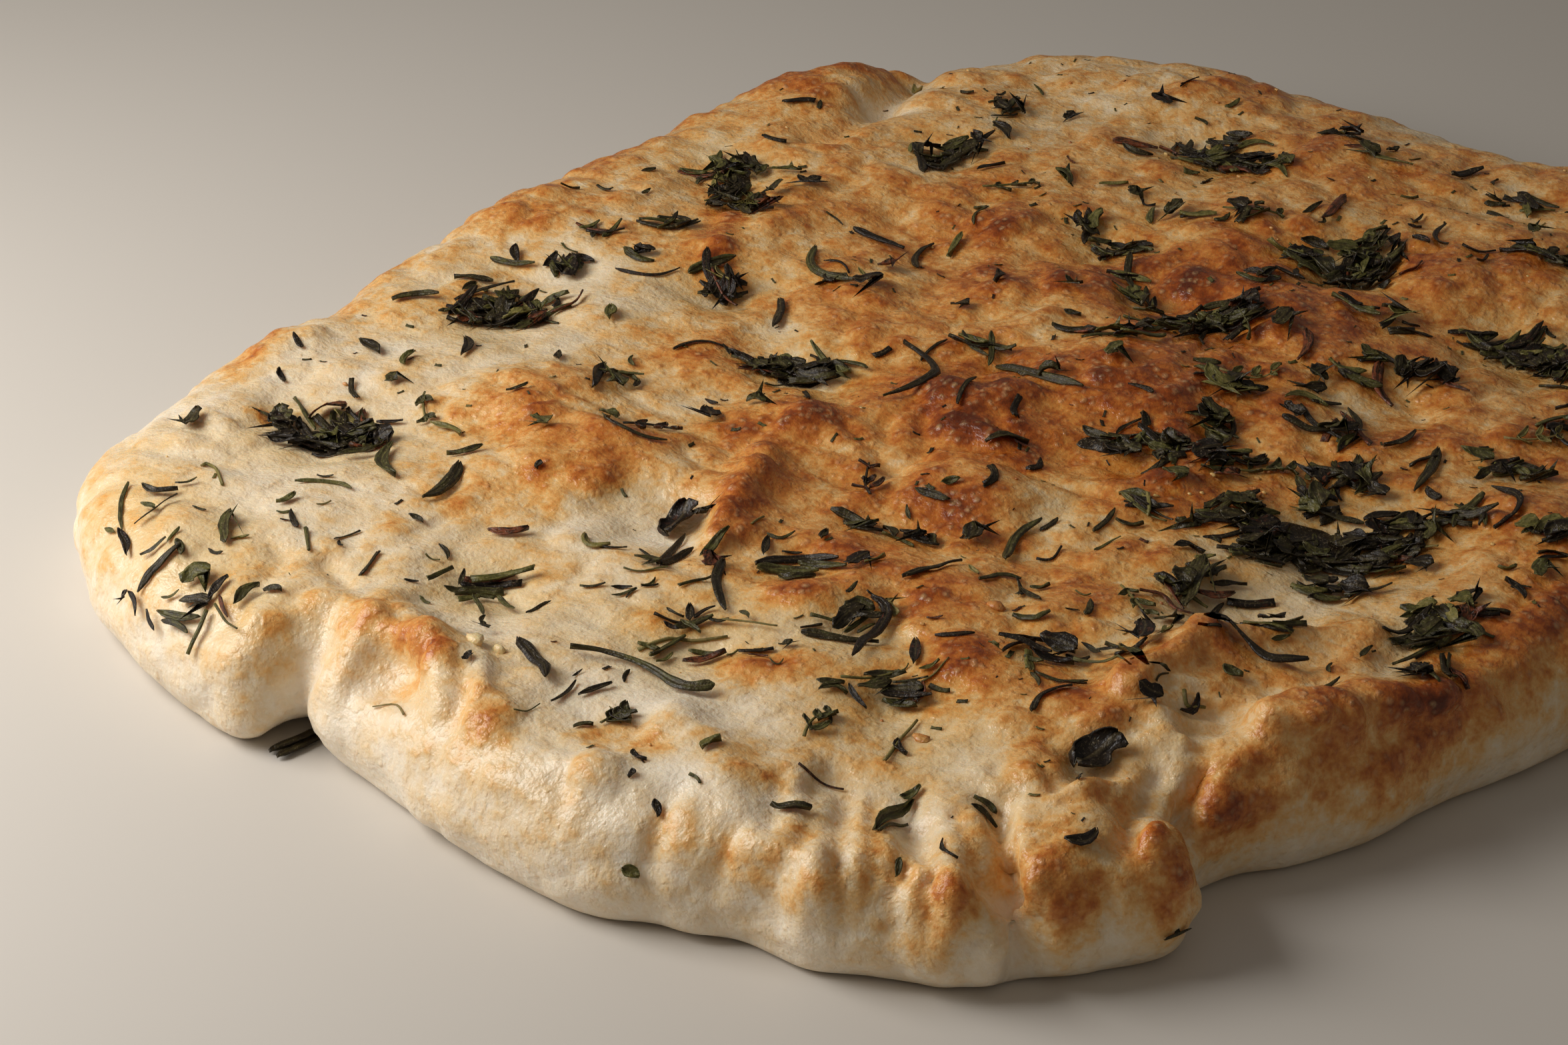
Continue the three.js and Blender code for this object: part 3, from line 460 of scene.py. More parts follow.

# %% [markdown]
# ## Where the crust browns
# Hills brown first, and so does the side of the oven that is hotter. Each patch is a soft oval,
# listed one by one. The sum is stored with each point as `brown`, from 0 for pale to 1 for deep
# brown.
# Attributes travel with the points, so the pattern can't slide, and the roughness can follow it
# too.

# %% Brown patches
BROWNED = table("""  # x, y, reach along and across, turn in degrees, strength
    22 36 84 86 0 0.27, 4 60 16 14 0 0.34, 64 -24 46 44 0 0.12, -69 -77 15 8 -25 0.14,
    -62 -83 9 6 0 0.04, -42 -79 11 9 0 0.22, -35 -91 9 6 30 0.24, -22 -42 12 12 0 0.26,
    -10 -70 6 17 20 0.16, -5 -86 7 8 0 0.14, -3 -10 13 14 0 0.24, 6 -26 13 10 0 0.22,
    23 -27 12 8 0 0.24, 18 2 30 7 -14 0.12, -60 40 14 13 0 0.22, -50 -30 14 12 0 0.14,
    12 80 12 14 0 0.16, 62 62 13 12 0 0.12, 45 96 18 13 0 0.08, 56 108 16 11 0 0.1,
    -17 43 12 10 0 0.18, -38 38 13 14 0 0.2, -50 58 13 11 0 0.2, -94 20 5 18 35 0.34,
    -82 4 8 6 0 0.24, -50 12 13 11 0 0.18, -58 -28 14 11 30 0.18, 22 -104 9 8 0 0.34,
    20 -80 10 8 0 0.26, 50 -85 10 7 0 0.2, 36 -60 12 8 0 0.24, 30 -52 10 6 0 0.14,
    4 -58 12 10 0 0.2, 64 -66 12 9 0 0.14, 60 -100 9 7 0 0.2, 138 -17 9 14 0 0.46,
    134 -45 7 14 10 0.3, 135 -62 6 12 0 0.24, 127 -80 5 8 0 0.16, 123 -97 6 7 0 0.1,
    121 -107 5 5 0 0.22, 125 -101 7 4 60 0.08, 136 -72 5 3 60 0.12, 122 -125 6 5 0 0.28,
    115 -142 7 5 20 0.18, 101 -156 4 4 -30 0.24, 108 -121 6 3 60 0.18, 107 -152 4 3 0 0.14,
    72 -161 4 9 -20 0.26, 80 -151 8 3 -50 0.2, 88 -157 3 7 20 0.2, 33 -172 7 6 0 0.12,
    32 -157 10 5 -15 0.32, 24 -162 8 5 0 0.26, 36 -172 6 5 0 0.08, 52 -154 10 5 0 0.2,
    10 -171 5 5 0 0.34, 50 -171 7 4 0 0.2, -20 -159 6 4 0 0.3, -33 -158 9 4 5 0.24,
    -12 -163 4 4 0 0.38, -45 -171 3 4 0 0.26, -30 -166 6 5 0 0.14, -17 -169 7 5 0 0.16,
    -52 -131 6 5 0 0.26, -50 -117 7 5 0 0.22, 8 -125 7 5 0 0.24, 33 -127 6 5 0 0.3,
    40 -124 4 3 0 0.2, -132 -92 5 14 25 0.36, -108 -111 4 3 0 0.34, -139 35 7 30 0 0.14,
    -132 104 8 18 10 0.26, -120 118 6 9 0 0.26, 112 40 16 30 0 0.16, 138 40 8 34 0 0.26,
    100 100 22 22 30 0.18, 128 112 10 24 20 0.26, 80 148 30 12 -12 0.22, 20 164 34 7 0 0.14,
    -40 166 26 6 0 0.14, 78 20 14 16 0 0.16, -84 -60 10 7 0 0.08, -30 -58 10 8 0 0.18,
    45 -20 10 7 0 0.14, 60 -20 8 8 0 0.12, -104 70 12 9 0 0.14
""")
PALE = table("""  # paler patches, in the same columns
    -75 -150 75 42 0 -0.22, 30 -158 75 30 0 -0.22, -115 -105 34 45 0 -0.16, 5 -122 40 22 0 -0.12,
    95 -118 30 34 0 0.04, -4 24 15 8 -20 -0.28, 32 -38 12 9 0 -0.28, 78 -34 20 18 0 -0.18,
    84 -66 16 10 0 -0.06, -90 -54 18 28 0 -0.26, -14 -98 9 8 0 -0.18, -28 66 10 8 0 -0.18,
    111 -86 8 11 -20 -0.14, -105 -10 16 16 0 -0.1, -48 -8 10 8 0 -0.16, 30 96 9 8 0 -0.16,
    -70 5 9 9 0 -0.12, 50 -45 10 8 0 -0.12, 38 -112 10 6 0 -0.1, -60 130 50 40 0 -0.04,
    132 -88 9 8 0 -0.26, 60 38 9 7 0 -0.18, 0 112 14 8 0 -0.12, 78 80 10 8 0 -0.16
""")
LEVEL = 0.34  # the lightly toasted colour of most of the top
x, y, z = read_rows(bread_mesh.vertices, "co").T / MM
uneven = 0.12 * swell(x, y, z, 21, 5) + 0.10 * swell(x, y, z, 9, 6) + 0.06 * swell(x, y, z, 4, 7)
brown = LEVEL + mounds_at(x, y, BROWNED + PALE) + 0.035 * relief_at(x, y) + uneven
print("browned past half:", round(float((brown > 0.5).mean()) * 100), "% of the points")

# %% [markdown]
# ## Puffs and bubbles
# Gas puffs the dough up into soft lumps with narrow valleys between them. The absolute value of
# smooth noise gives just that: rounded above and creased at zero. Three sizes are added, rougher
# where the crust is browner, because it dried there first. Low on the side the dough slumped, so
# the lumps are softer there and wider than they are high. A few larger bubbles stand up by
# themselves. The tops of the puffs brown a little more than the valleys.

# %% Puffs
import random

BUBBLES, BUBBLE_REACHES, BUBBLE_RISE = 150, (2.2, 4.8), 0.16  # mm, and height for each mm of reach
BUBBLES_ABOVE = 8  # mm
SIDE_FOOT, SIDE_FADE = 9, 11  # the side's own softer lumps end 20 mm high
HAIR = 1e-5  # metres, the dressed bread stays this far inside the box of the solids
BOX_LOW, BOX_HIGH = np.array(cad_low) + HAIR, np.array(cad_high) - HAIR
rng = random.Random(7)


def puffs(x, y, z, wavelength, seed):
    """Rounded lumps with narrow valleys between them, from -0.5 to 1.5."""
    lean = 0.4 * wavelength
    across = x + lean * swell(x, y, z, wavelength * 1.7, seed + 40)
    along = y + lean * swell(x, y, z, wavelength * 1.9, seed + 41)
    return 2 * np.abs(swell(across, along, z, wavelength, seed)) - 0.5


dry = np.clip(brown, 0, 1)
bumps = 1.0 * puffs(x, y, z, 16, 11) + (0.45 + 0.65 * dry) * puffs(x, y, z, 8.5, 12)
bumps += (0.16 + 0.40 * dry) * puffs(x, y, z, 5, 13) + (0.05 + 0.18 * dry) * swell(x, y, z, 3, 14)
side = 1 - np.clip((z - SIDE_FOOT) / SIDE_FADE, 0, 1)
slumped = 0.8 * puffs(x, y, 2.2 * z, 22, 15) + 0.55 * puffs(x, y, 1.8 * z, 9, 16)
bumps = (1 - 0.75 * side) * bumps + side * slumped
finder = finder_of(list(zip(x, y, z)))
for _ in range(BUBBLES):
    k = rng.randrange(len(x))
    if z[k] < BUBBLES_ABOVE or rng.random() > 0.25 + dry[k]:
        continue
    reach = rng.uniform(*BUBBLE_REACHES)
    for _, at, far in finder.find_range((x[k], y[k], z[k]), reach):
        bumps[at] += BUBBLE_RISE * reach * (1 - (far / reach) ** 2) ** 2
push_out(bread_mesh, bumps)
points = np.clip(read_rows(bread_mesh.vertices, "co"), BOX_LOW, BOX_HIGH)
bread_mesh.vertices.foreach_set("co", points.ravel())
bread_mesh.polygons.foreach_set("use_smooth", [len(p.vertices) < 5 for p in bread_mesh.polygons])
brown = (brown + 0.10 * bumps) * (0.22 + 0.78 * np.clip((z - 4) / 13, 0, 1))
brown = np.clip(0.08 + 0.86 * brown, 0, 1)
print("puffs from", round(float(bumps.min()), 1), "to", round(float(bumps.max()), 1), "mm,",
      "triangles:", sum(len(p.vertices) - 2 for p in bread_mesh.polygons))

# %% [markdown]
# ## Where the herbs lie
# Clumps as large as berries have solids of their own. Their places are needed now, because oil runs
# out of the herbs and soaks the crust round them. `oily` marks where.

# %% Clumps and the oil round them
CLUMPS = table("""  # x, y, reach along and across, turn in degrees, way of lying, number of leaves
    -94 -109 12 10 10 mat 70, -98 -154 11 7 -50 listed 0, -79 -163 10 4 -60 listed 0,
    -61 -167 9 8 -40 listed 0, -26 -134 9 6 20 listed 0, 18 -121 9 8 0 listed 0,
    41 -101 12 8 -60 listed 0, 57 -116 10 6 0 listed 0, 75 -88 9 8 0 listed 0,
    80 -47 9 8 -30 listed 5, 85 -13 17 13 35 mat 120, 122 -34 9 6 60 mat 30,
    -108 -42 12 9 60 mat 60, -108 43 18 6 -40 mat 50, -80 89 10 8 60 loose 26,
    -26 128 11 8 0 mat 38, -26 73 10 7 -30 loose 20, 21 49 13 7 40 mat 44, 27 97 15 9 40 mat 60,
    76 83 12 7 30 mat 40, 34 -12 12 6 30 mat 26, -36 -22 13 6 40 mat 36, -75 -1 9 6 30 loose 18,
    112 66 14 8 40 mat 40
""")
OIL_SPREAD = 5  # mm beyond a clump
x, y, z = points.T / MM
oily = np.zeros_like(x)
for cx, cy, along, across, *_ in CLUMPS:
    reach = (along + across) / 2 + OIL_SPREAD
    oily = np.maximum(oily, np.exp(-((x - cx) ** 2 + (y - cy) ** 2) / reach**2))
oily += (0.45 + 0.30 * swell(x, y, z, 19, 21) + 0.20 * swell(x, y, z, 7, 22)
         - 0.04 * relief_at(x, y) - 0.15 * bumps)
oily = np.clip(oily, 0, 1) * np.clip((z - 14) / 8, 0, 1)
for name, values in (("brown", brown), ("oily", oily)):
    bread_mesh.attributes.new(name, "FLOAT", "POINT").data.foreach_set("value", values)
print("clumps:", len(CLUMPS), "oily:", round(float(oily.mean()), 2))

# %% [markdown]
# ## The crust's finish
# Baked dough goes from cream through straw and amber to a deep red-brown, so one colour ramp
# follows `brown`, broken up by noise at three sizes. Pinhead bubbles stay pale in the browned
# parts. Oil yellows the dough and makes it shine, and light sinks into it a little, so its shadows
# are warm. Fine grain is bump. A painted picture would do the same, but a procedure is sharp at any
# distance.

# %% Helpers for materials
def colour(red, green, blue):
    """A colour as a paint program gives it, 0 to 255, as the linear numbers that a shader takes."""
    shares = (c / 255 for c in (red, green, blue))
    return (*(s / 12.92 if s < 0.04045 else ((s + 0.055) / 1.055) ** 2.4 for s in shares), 1)


class Finish:
    """A material and short ways of adding nodes to it."""

    def __init__(self, name):
        self.material = bpy.data.materials.new(name)
        self.material.use_nodes = True
        self.tree = self.material.node_tree
        self.shader = self.tree.nodes["Principled BSDF"]
        self.here = self.add("ShaderNodeTexCoord").outputs["Object"]

    def add(self, kind, values=(), **settings):
        """A new node. A value that is another node's socket is linked, and any other is set."""
        node = self.tree.nodes.new(kind)
        for name, value in settings.items():
            setattr(node, name, value)
        for name, value in dict(values).items():
            if isinstance(value, bpy.types.NodeSocket):
                self.tree.links.new(value, node.inputs[name])
            else:
                node.inputs[name].default_value = value
        return node

    def attribute(self, name, output="Fac"):
        return self.add("ShaderNodeAttribute", attribute_name=name).outputs[output]

    def noise(self, size, detail=2.0, roughness=0.5):
        """Noise with spots of about this size in millimetres, 0 to 1."""
        return self.add("ShaderNodeTexNoise", {
            "Vector": self.here, "Scale": 1 / (size * MM), "Detail": detail,
            "Roughness": roughness}).outputs["Fac"]

    def math(self, operation, a, b=0.0):
        return self.add("ShaderNodeMath", {0: a, 1: b}, operation=operation).outputs[0]

    def times(self, a, b):
        return self.math("MULTIPLY", a, b)

    def centred(self, value):
        return self.math("SUBTRACT", value, 0.5)

    def sum(self, *parts):
        """Adds up values, each times its own weight."""
        total = 0.0
        for value, weight in parts:
            total = self.math("ADD", self.times(value, weight), total)
        return total

    def span(self, value, low, high, to_low=0.0, to_high=1.0):
        """Stretches low..high to to_low..to_high, and stops there."""
        return self.add("ShaderNodeMapRange", {
            "Value": value, "From Min": low, "From Max": high,
            "To Min": to_low, "To Max": to_high}).outputs["Result"]

    def ramp(self, value, *stops):
        """A colour ramp. Each stop is its place and its red, green and blue."""
        node = self.add("ShaderNodeValToRGB", {"Fac": value})
        marks = node.color_ramp.elements
        while len(marks) < len(stops):
            marks.new(0.5)
        for mark, (place, *shade) in zip(marks, stops):
            mark.position, mark.color = place, colour(*shade)
        return node.outputs["Color"]

    def mix(self, share, a, b, blend="MIX"):
        """Colour a with a share of colour b. Its sockets share names, so they go by number."""
        values = {0: share, 6: a, 7: b}
        return self.add("ShaderNodeMix", values, data_type="RGBA", blend_type=blend).outputs[2]

    def link(self, value, name):
        self.tree.links.new(value, self.shader.inputs[name])

    def bumps(self, height, depth):
        """Bump whose height of 1 stands for depth in millimetres."""
        values = {"Height": height, "Distance": depth * MM, "Strength": 1.0}
        self.link(self.add("ShaderNodeBump", values).outputs["Normal"], "Normal")


print("cream is", [round(c, 2) for c in colour(238, 224, 196)])

# %% Crust material
crust = Finish("crust")
browning, oil = crust.attribute("brown"), crust.attribute("oily")
patches = crust.noise(6, 3, 0.55)
specks = crust.noise(2.4, 3, 0.55)
grain = crust.noise(0.9, 2, 0.5)
shift = crust.sum((crust.centred(patches), 0.55), (crust.centred(specks), 0.55),
                  (crust.centred(grain), 0.22))
shift = crust.times(shift, crust.span(browning, 0.05, 0.45, 0.35, 1.0))
base = crust.ramp(
    crust.math("ADD", browning, shift),
    (0.00, 240, 229, 210), (0.15, 234, 217, 189), (0.28, 228, 200, 156), (0.40, 224, 177, 112),
    (0.53, 208, 142, 70), (0.67, 182, 104, 40), (0.82, 140, 66, 18), (1.0, 90, 36, 8))
blister = crust.add("ShaderNodeTexVoronoi", {
    "Vector": crust.here, "Scale": 1 / (1.9 * MM), "Smoothness": 0.3}, feature="SMOOTH_F1")
domes = crust.span(blister.outputs["Distance"], 0.10, 0.50, 1.0, 0.0)
raised = crust.times(domes, crust.span(specks, 0.42, 0.58))
paled = crust.times(raised, crust.span(browning, 0.15, 0.6, 0.05, 0.38))
base = crust.mix(paled, base, colour(244, 206, 150))
oiled = crust.times(oil, crust.span(browning, 0.1, 0.7, 0.75, 0.5))
crust.link(crust.mix(oiled, base, colour(243, 224, 180), "MULTIPLY"), "Base Color")
dull = crust.span(grain, 0.3, 0.7, 0.32, 0.46)
crust.link(crust.math("SUBTRACT", dull, crust.times(oil, 0.14)), "Roughness")
dome_height = crust.span(browning, 0.1, 0.6, 0.12, 0.28)
crust.bumps(crust.sum((specks, 0.36), (grain, 0.26), (raised, dome_height)), 0.9)
crust.shader.subsurface_method = "BURLEY"
crust.shader.inputs["Specular IOR Level"].default_value = 0.4
crust.shader.inputs["Subsurface Weight"].default_value = 0.45
crust.shader.inputs["Subsurface Radius"].default_value = (1.0, 0.42, 0.16)
crust.shader.inputs["Subsurface Scale"].default_value = 3.5 * MM
bread = add_object("bread", bread_mesh, crust.material)
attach(bread, "root")
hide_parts("focaccia")
print("crust nodes:", len(crust.tree.nodes))

# %% [markdown]
# ## Leaves
# A rosemary needle is long and narrow, with its edges rolled under and a groove down its back. A
# thyme leaf is a small pointed oval, sage is broad and pebbled, and a stem is a thin rod. Each
# starts as a small flat grid, is shaped row by row, and gets a thickness. One low shape of each
# kind is enough, because every copy is bent over the crust anew.

# %% Leaf shapes
class Leaf:
    """A leaf as a small mesh, with each point's place along it, across it and above it."""

    def __init__(self, name, rows, columns, length, width, outline, section, thickness):
        shape = bmesh.new()
        bmesh.ops.create_grid(shape, x_segments=rows, y_segments=columns, size=1)
        s, t = np.array([(p.co.x, p.co.y) for p in shape.verts]).T
        s = (s + 1) / 2
        for p, a, b in zip(shape.verts, s, t):
            p.co = (a * length, b * outline(a, b) * width / 2, section(a, b))
        flat_count = len(shape.verts)
        bmesh.ops.recalc_face_normals(shape, faces=shape.faces)
        if sum(f.normal.z for f in shape.faces) < 0:
            bmesh.ops.reverse_faces(shape, faces=shape.faces)
        bmesh.ops.solidify(shape, geom=shape.faces[:], thickness=thickness)
        bmesh.ops.recalc_face_normals(shape, faces=shape.faces)
        self.mesh = mesh_from(shape, name)
        corners = read_rows(self.mesh.vertices, "co")
        self.along, self.across = corners[:, 0] / length, corners[:, 1] / (width / 2)
        self.above = corners[:, 2] - corners[:, 2].min()
        self.width = width
        on_top = np.arange(len(corners)) < flat_count
        self.marks = np.stack([self.along, self.across, on_top], axis=1)
        self.triangles = sum(len(p.vertices) - 2 for p in self.mesh.polygons)


def wobble(a, b, seed, wavelength=0.31):
    """Smooth unevenness from -1 to 1 at one place."""
    return float(swell(np.array([a]), np.array([b]), np.array([0.0]), wavelength, seed)[0])


def needle_outline(s, t):
    ends = min(1, 0.35 + (s / 0.2) ** 0.7, 0.2 + ((1 - s) / 0.3) ** 0.7)
    return ends * (0.9 + 0.12 * wobble(s * 1.5, t * 0.3, 2))


def needle_section(s, t):
    groove = 0.34 * np.exp(-((t / 0.22) ** 2))
    return 0.45 * np.sqrt(max(0, 1 - t * t)) - groove + 0.14 * wobble(s * 1.6, t, 3)


def thyme_outline(s, t):
    return max(0.10, np.sin(np.pi * s**0.9) ** 0.8) * (0.95 + 0.15 * wobble(s * 1.3, t * 0.4, 6))


def thyme_section(s, t):
    return 0.42 * abs(t) ** 1.5 + 0.20 * wobble(s, t, 5) - 0.06 * np.exp(-((t / 0.2) ** 2))


def scrap_outline(s, t):
    return max(0.15, np.sin(np.pi * s) ** 0.35 * (1 + 0.45 * wobble(s * 1.1, t * 0.9, 8)))


def scrap_section(s, t):
    return 0.50 * wobble(s * 1.1, t * 0.8, 9) + 0.30 * t * t


needle = Leaf("needle", 12, 6, 12, 2.4, needle_outline, needle_section, 0.28)
short_needle = Leaf("short_needle", 6, 4, 8, 2.2, needle_outline, needle_section, 0.28)
cut_needle = Leaf("cut_needle", 5, 4, 6, 2.3,
                  lambda s, t: 1 - 0.25 * abs(wobble(s, t, 4)), needle_section, 0.28)
thyme = Leaf("thyme", 6, 4, 6, 2.4, thyme_outline, thyme_section, 0.20)
broad = Leaf("broad", 8, 6, 9, 6, scrap_outline, scrap_section, 0.24)
stem = Leaf("stem", 8, 2, 8, 0.8,
            lambda s, t: 0.7 + 0.3 * (1 - s), lambda s, t: 0.3 * np.sqrt(1 - t * t), 0.30)
bit = Leaf("bit", 3, 2, 2, 1.2,
           lambda s, t: 1 - 0.5 * abs(wobble(s * 1.4, t, 12)), lambda s, t: 0.15 * t * t, 0.16)
KINDS = {"n": needle, "m": short_needle, "c": cut_needle, "t": thyme, "s": broad, "w": stem,
         "b": bit}
print("triangles:", {leaf.mesh.name: leaf.triangles for leaf in KINDS.values()})

# %% [markdown]
# ## Laying a leaf on the crust
# A baked leaf has slumped onto the bread, so it follows the crust but stays a little stiff, and its
# ends curl up. Rays straight down find the crust at a few places under the leaf's midline. The line
# is smoothed, and each row of the leaf is set square to it, turned more and more where the leaf has
# twisted. A shrinkwrap modifier would flatten its own form.

# %% Lay and gather
from mathutils.bvhtree import BVHTree

crust_tree = BVHTree.FromPolygons([tuple(p) for p in points],
                                  [tuple(p.vertices) for p in bread_mesh.polygons])
DOWN = Vector((0, 0, -1))
ABOVE_ALL, LOW_SIDE = 80, 8  # mm, where a ray starts, and where a place off the bread is looked up
STATIONS, MORE_STATIONS = 9, 17  # along a straight leaf's midline, and along a curved one's
SUNK, SHOWN = 0.1, 0.7  # mm that a leaf may sink in, and the share of its height that always shows


def on_crust(x, y):
    """The crust's point and normal below x, y, in millimetres."""
    place, normal = crust_tree.ray_cast(Vector((x, y, ABOVE_ALL)) * MM, DOWN)[:2]
    if place is None:
        place, normal = crust_tree.find_nearest(Vector((x, y, LOW_SIDE)) * MM)[:2]
    return np.array(place) / MM, np.array(normal)


def height_at(x, y):
    """The crust's height at x, y."""
    return on_crust(x, y)[0][2]


def lay(leaf, route, width, bend=0.0, lift=0.0, pitch=0.0, roll=0.0, twist=0.0, curl=0.0,
        tint=0.5, stiff=2):
    """Places of a leaf's points along a route of x, y points. Bend is sideways, pitch, roll and
    twist tilt it in radians, curl lifts its ends, and a stiffer leaf bridges more hollows."""
    route = np.array(route, float)
    walked = np.concatenate([[0], np.cumsum(np.linalg.norm(np.diff(route, axis=0), axis=1))])
    length = walked[-1]
    s = np.linspace(0, 1, STATIONS if len(route) < 4 else MORE_STATIONS)
    flat = np.stack([np.interp(s * length, walked, route[:, k]) for k in (0, 1)], axis=1)
    aside = np.array([route[0, 1] - route[-1, 1], route[-1, 0] - route[0, 0]])
    flat += aside / max(np.linalg.norm(aside), 0.1) * (bend * 4 * s * (1 - s))[:, None]
    hits = [on_crust(*p) for p in flat]
    line = np.array([h[0] for h in hits])
    up = np.array([h[1] for h in hits])
    found = line.copy()
    for _ in range(stiff):
        line[1:-1] = (line[:-2] + 2 * line[1:-1] + line[2:]) / 4
        up[1:-1] = (up[:-2] + 2 * up[1:-1] + up[2:]) / 4
    up = up * 0.5 + up.mean(0) * 0.5
    line += up * max(0, 0.6 * float(((found - line) * up).sum(1).max()))
    line += up * (lift + pitch * (s - 0.5) * length + curl * (2 * s - 1) ** 2)[:, None]
    ahead = np.gradient(line, axis=0)
    ahead /= np.linalg.norm(ahead, axis=1)[:, None]
    side = np.cross(up, ahead)
    side /= np.linalg.norm(side, axis=1)[:, None]
    up = np.cross(ahead, side)
    turned = (roll + twist * (s - 0.5))[:, None]
    c, s_turn = np.cos(turned), np.sin(turned)
    side, up = side * c + up * s_turn, up * c - side * s_turn
    at = np.clip(leaf.along, 0, 1)
    here, beside, above = (
        np.stack([np.interp(at, s, v[:, k]) for k in range(3)], axis=1) for v in (line, side, up))
    heights = leaf.above * (width / leaf.width)
    places = here + beside * (leaf.across * width / 2)[:, None] + above * heights[:, None]
    for place, height in zip(places, heights):
        place[2] = max(place[2], height_at(*place[:2]) + SHOWN * height - SUNK)
    return leaf, places, tint


def gather(name, material, laid, nodes=()):
    """One piece from many laid leaves, with each point's place on its leaf and the leaf's tint."""
    heap = bmesh.new()
    corners, marks = [], []
    for leaf, places, tint in laid:
        heap.from_mesh(leaf.mesh)
        corners.append(places)
        marks.append(np.hstack([leaf.marks, np.full((len(places), 1), tint)]))
    mesh = mesh_from(heap, name)
    corners = np.clip(np.concatenate(corners) * MM, BOX_LOW, BOX_HIGH)
    mesh.vertices.foreach_set("co", corners.ravel())
    leaf_marks = mesh.attributes.new("leaf", "FLOAT_COLOR", "POINT")
    leaf_marks.data.foreach_set("color", np.concatenate(marks).ravel())
    mesh.polygons.foreach_set("use_smooth", [True] * len(mesh.polygons))
    mesh.update()
    piece = add_object(name, mesh, material)
    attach(piece, "root")
    if nodes:
        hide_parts(*nodes)
    return piece


print("crust found at", [round(float(c), 1) for c in on_crust(0, 0)[0]], "mm")

# %% [markdown]
# ## The herbs' finish
# Baked herbs are nearly black, with olive, green and brown showing where the leaf was thick, a few
# scraps turn red-brown, and all are oily. Each copy has its own tint. Wrinkles run along the leaf,
# so their noise is stretched along it with the places stored in the attribute `leaf`. A paler line
# marks the midrib, and fine grey specks break it up.

# %% Herb material
herb = Finish("herb")
marks = herb.add("ShaderNodeSeparateColor", {"Color": herb.attribute("leaf", "Color")}).outputs
own_tint = herb.attribute("leaf", "Alpha")
on_leaf = herb.add("ShaderNodeCombineXYZ", {
    "X": herb.times(marks["Red"], 4), "Y": herb.times(marks["Green"], 3.5),
    "Z": herb.times(own_tint, 90)}).outputs[0]
streaks = herb.add("ShaderNodeTexNoise", {"Vector": on_leaf, "Scale": 1.0, "Detail": 3.0})
streaks = streaks.outputs["Fac"]
mottle = herb.noise(1.3, 3, 0.6)
shift = herb.sum((herb.centred(mottle), 0.40), (herb.centred(streaks), 0.55))
leaf_colour = herb.ramp(
    herb.math("ADD", own_tint, shift),
    (0.0, 118, 62, 36), (0.08, 68, 38, 22), (0.18, 24, 16, 10), (0.36, 34, 25, 14),
    (0.50, 54, 47, 22), (0.62, 76, 74, 34), (0.78, 112, 104, 52), (1.0, 158, 138, 84))
across = herb.math("ABSOLUTE", marks["Green"])
rib = herb.times(herb.span(across, 0.0, 0.18, 1.0, 0.0), 0.20)
leaf_colour = herb.mix(rib, leaf_colour, colour(124, 108, 66))
pepper = herb.span(herb.noise(0.45, 2), 0.58, 0.68, 0.0, 0.45)
pepper = herb.times(pepper, herb.span(streaks, 0.40, 0.60))
herb.link(herb.mix(pepper, leaf_colour, colour(150, 132, 104)), "Base Color")
herb.link(herb.span(mottle, 0.3, 0.7, 0.30, 0.52), "Roughness")
herb.shader.inputs["Specular IOR Level"].default_value = 0.3
herb.bumps(herb.sum((herb.noise(0.6, 2), 0.5), (mottle, 0.4), (streaks, 0.8)), 0.35)
print("herb nodes:", len(herb.tree.nodes))

# %% [markdown]
# ## Single herbs
# Leaves that fell by themselves are scattered all over. Those that can be told apart are listed one
# by one. On the far side, where they lie thicker, a seeded rule scatters more of the same kinds and
# sizes in drifts, with chopped bits everywhere. Each kind is one piece.

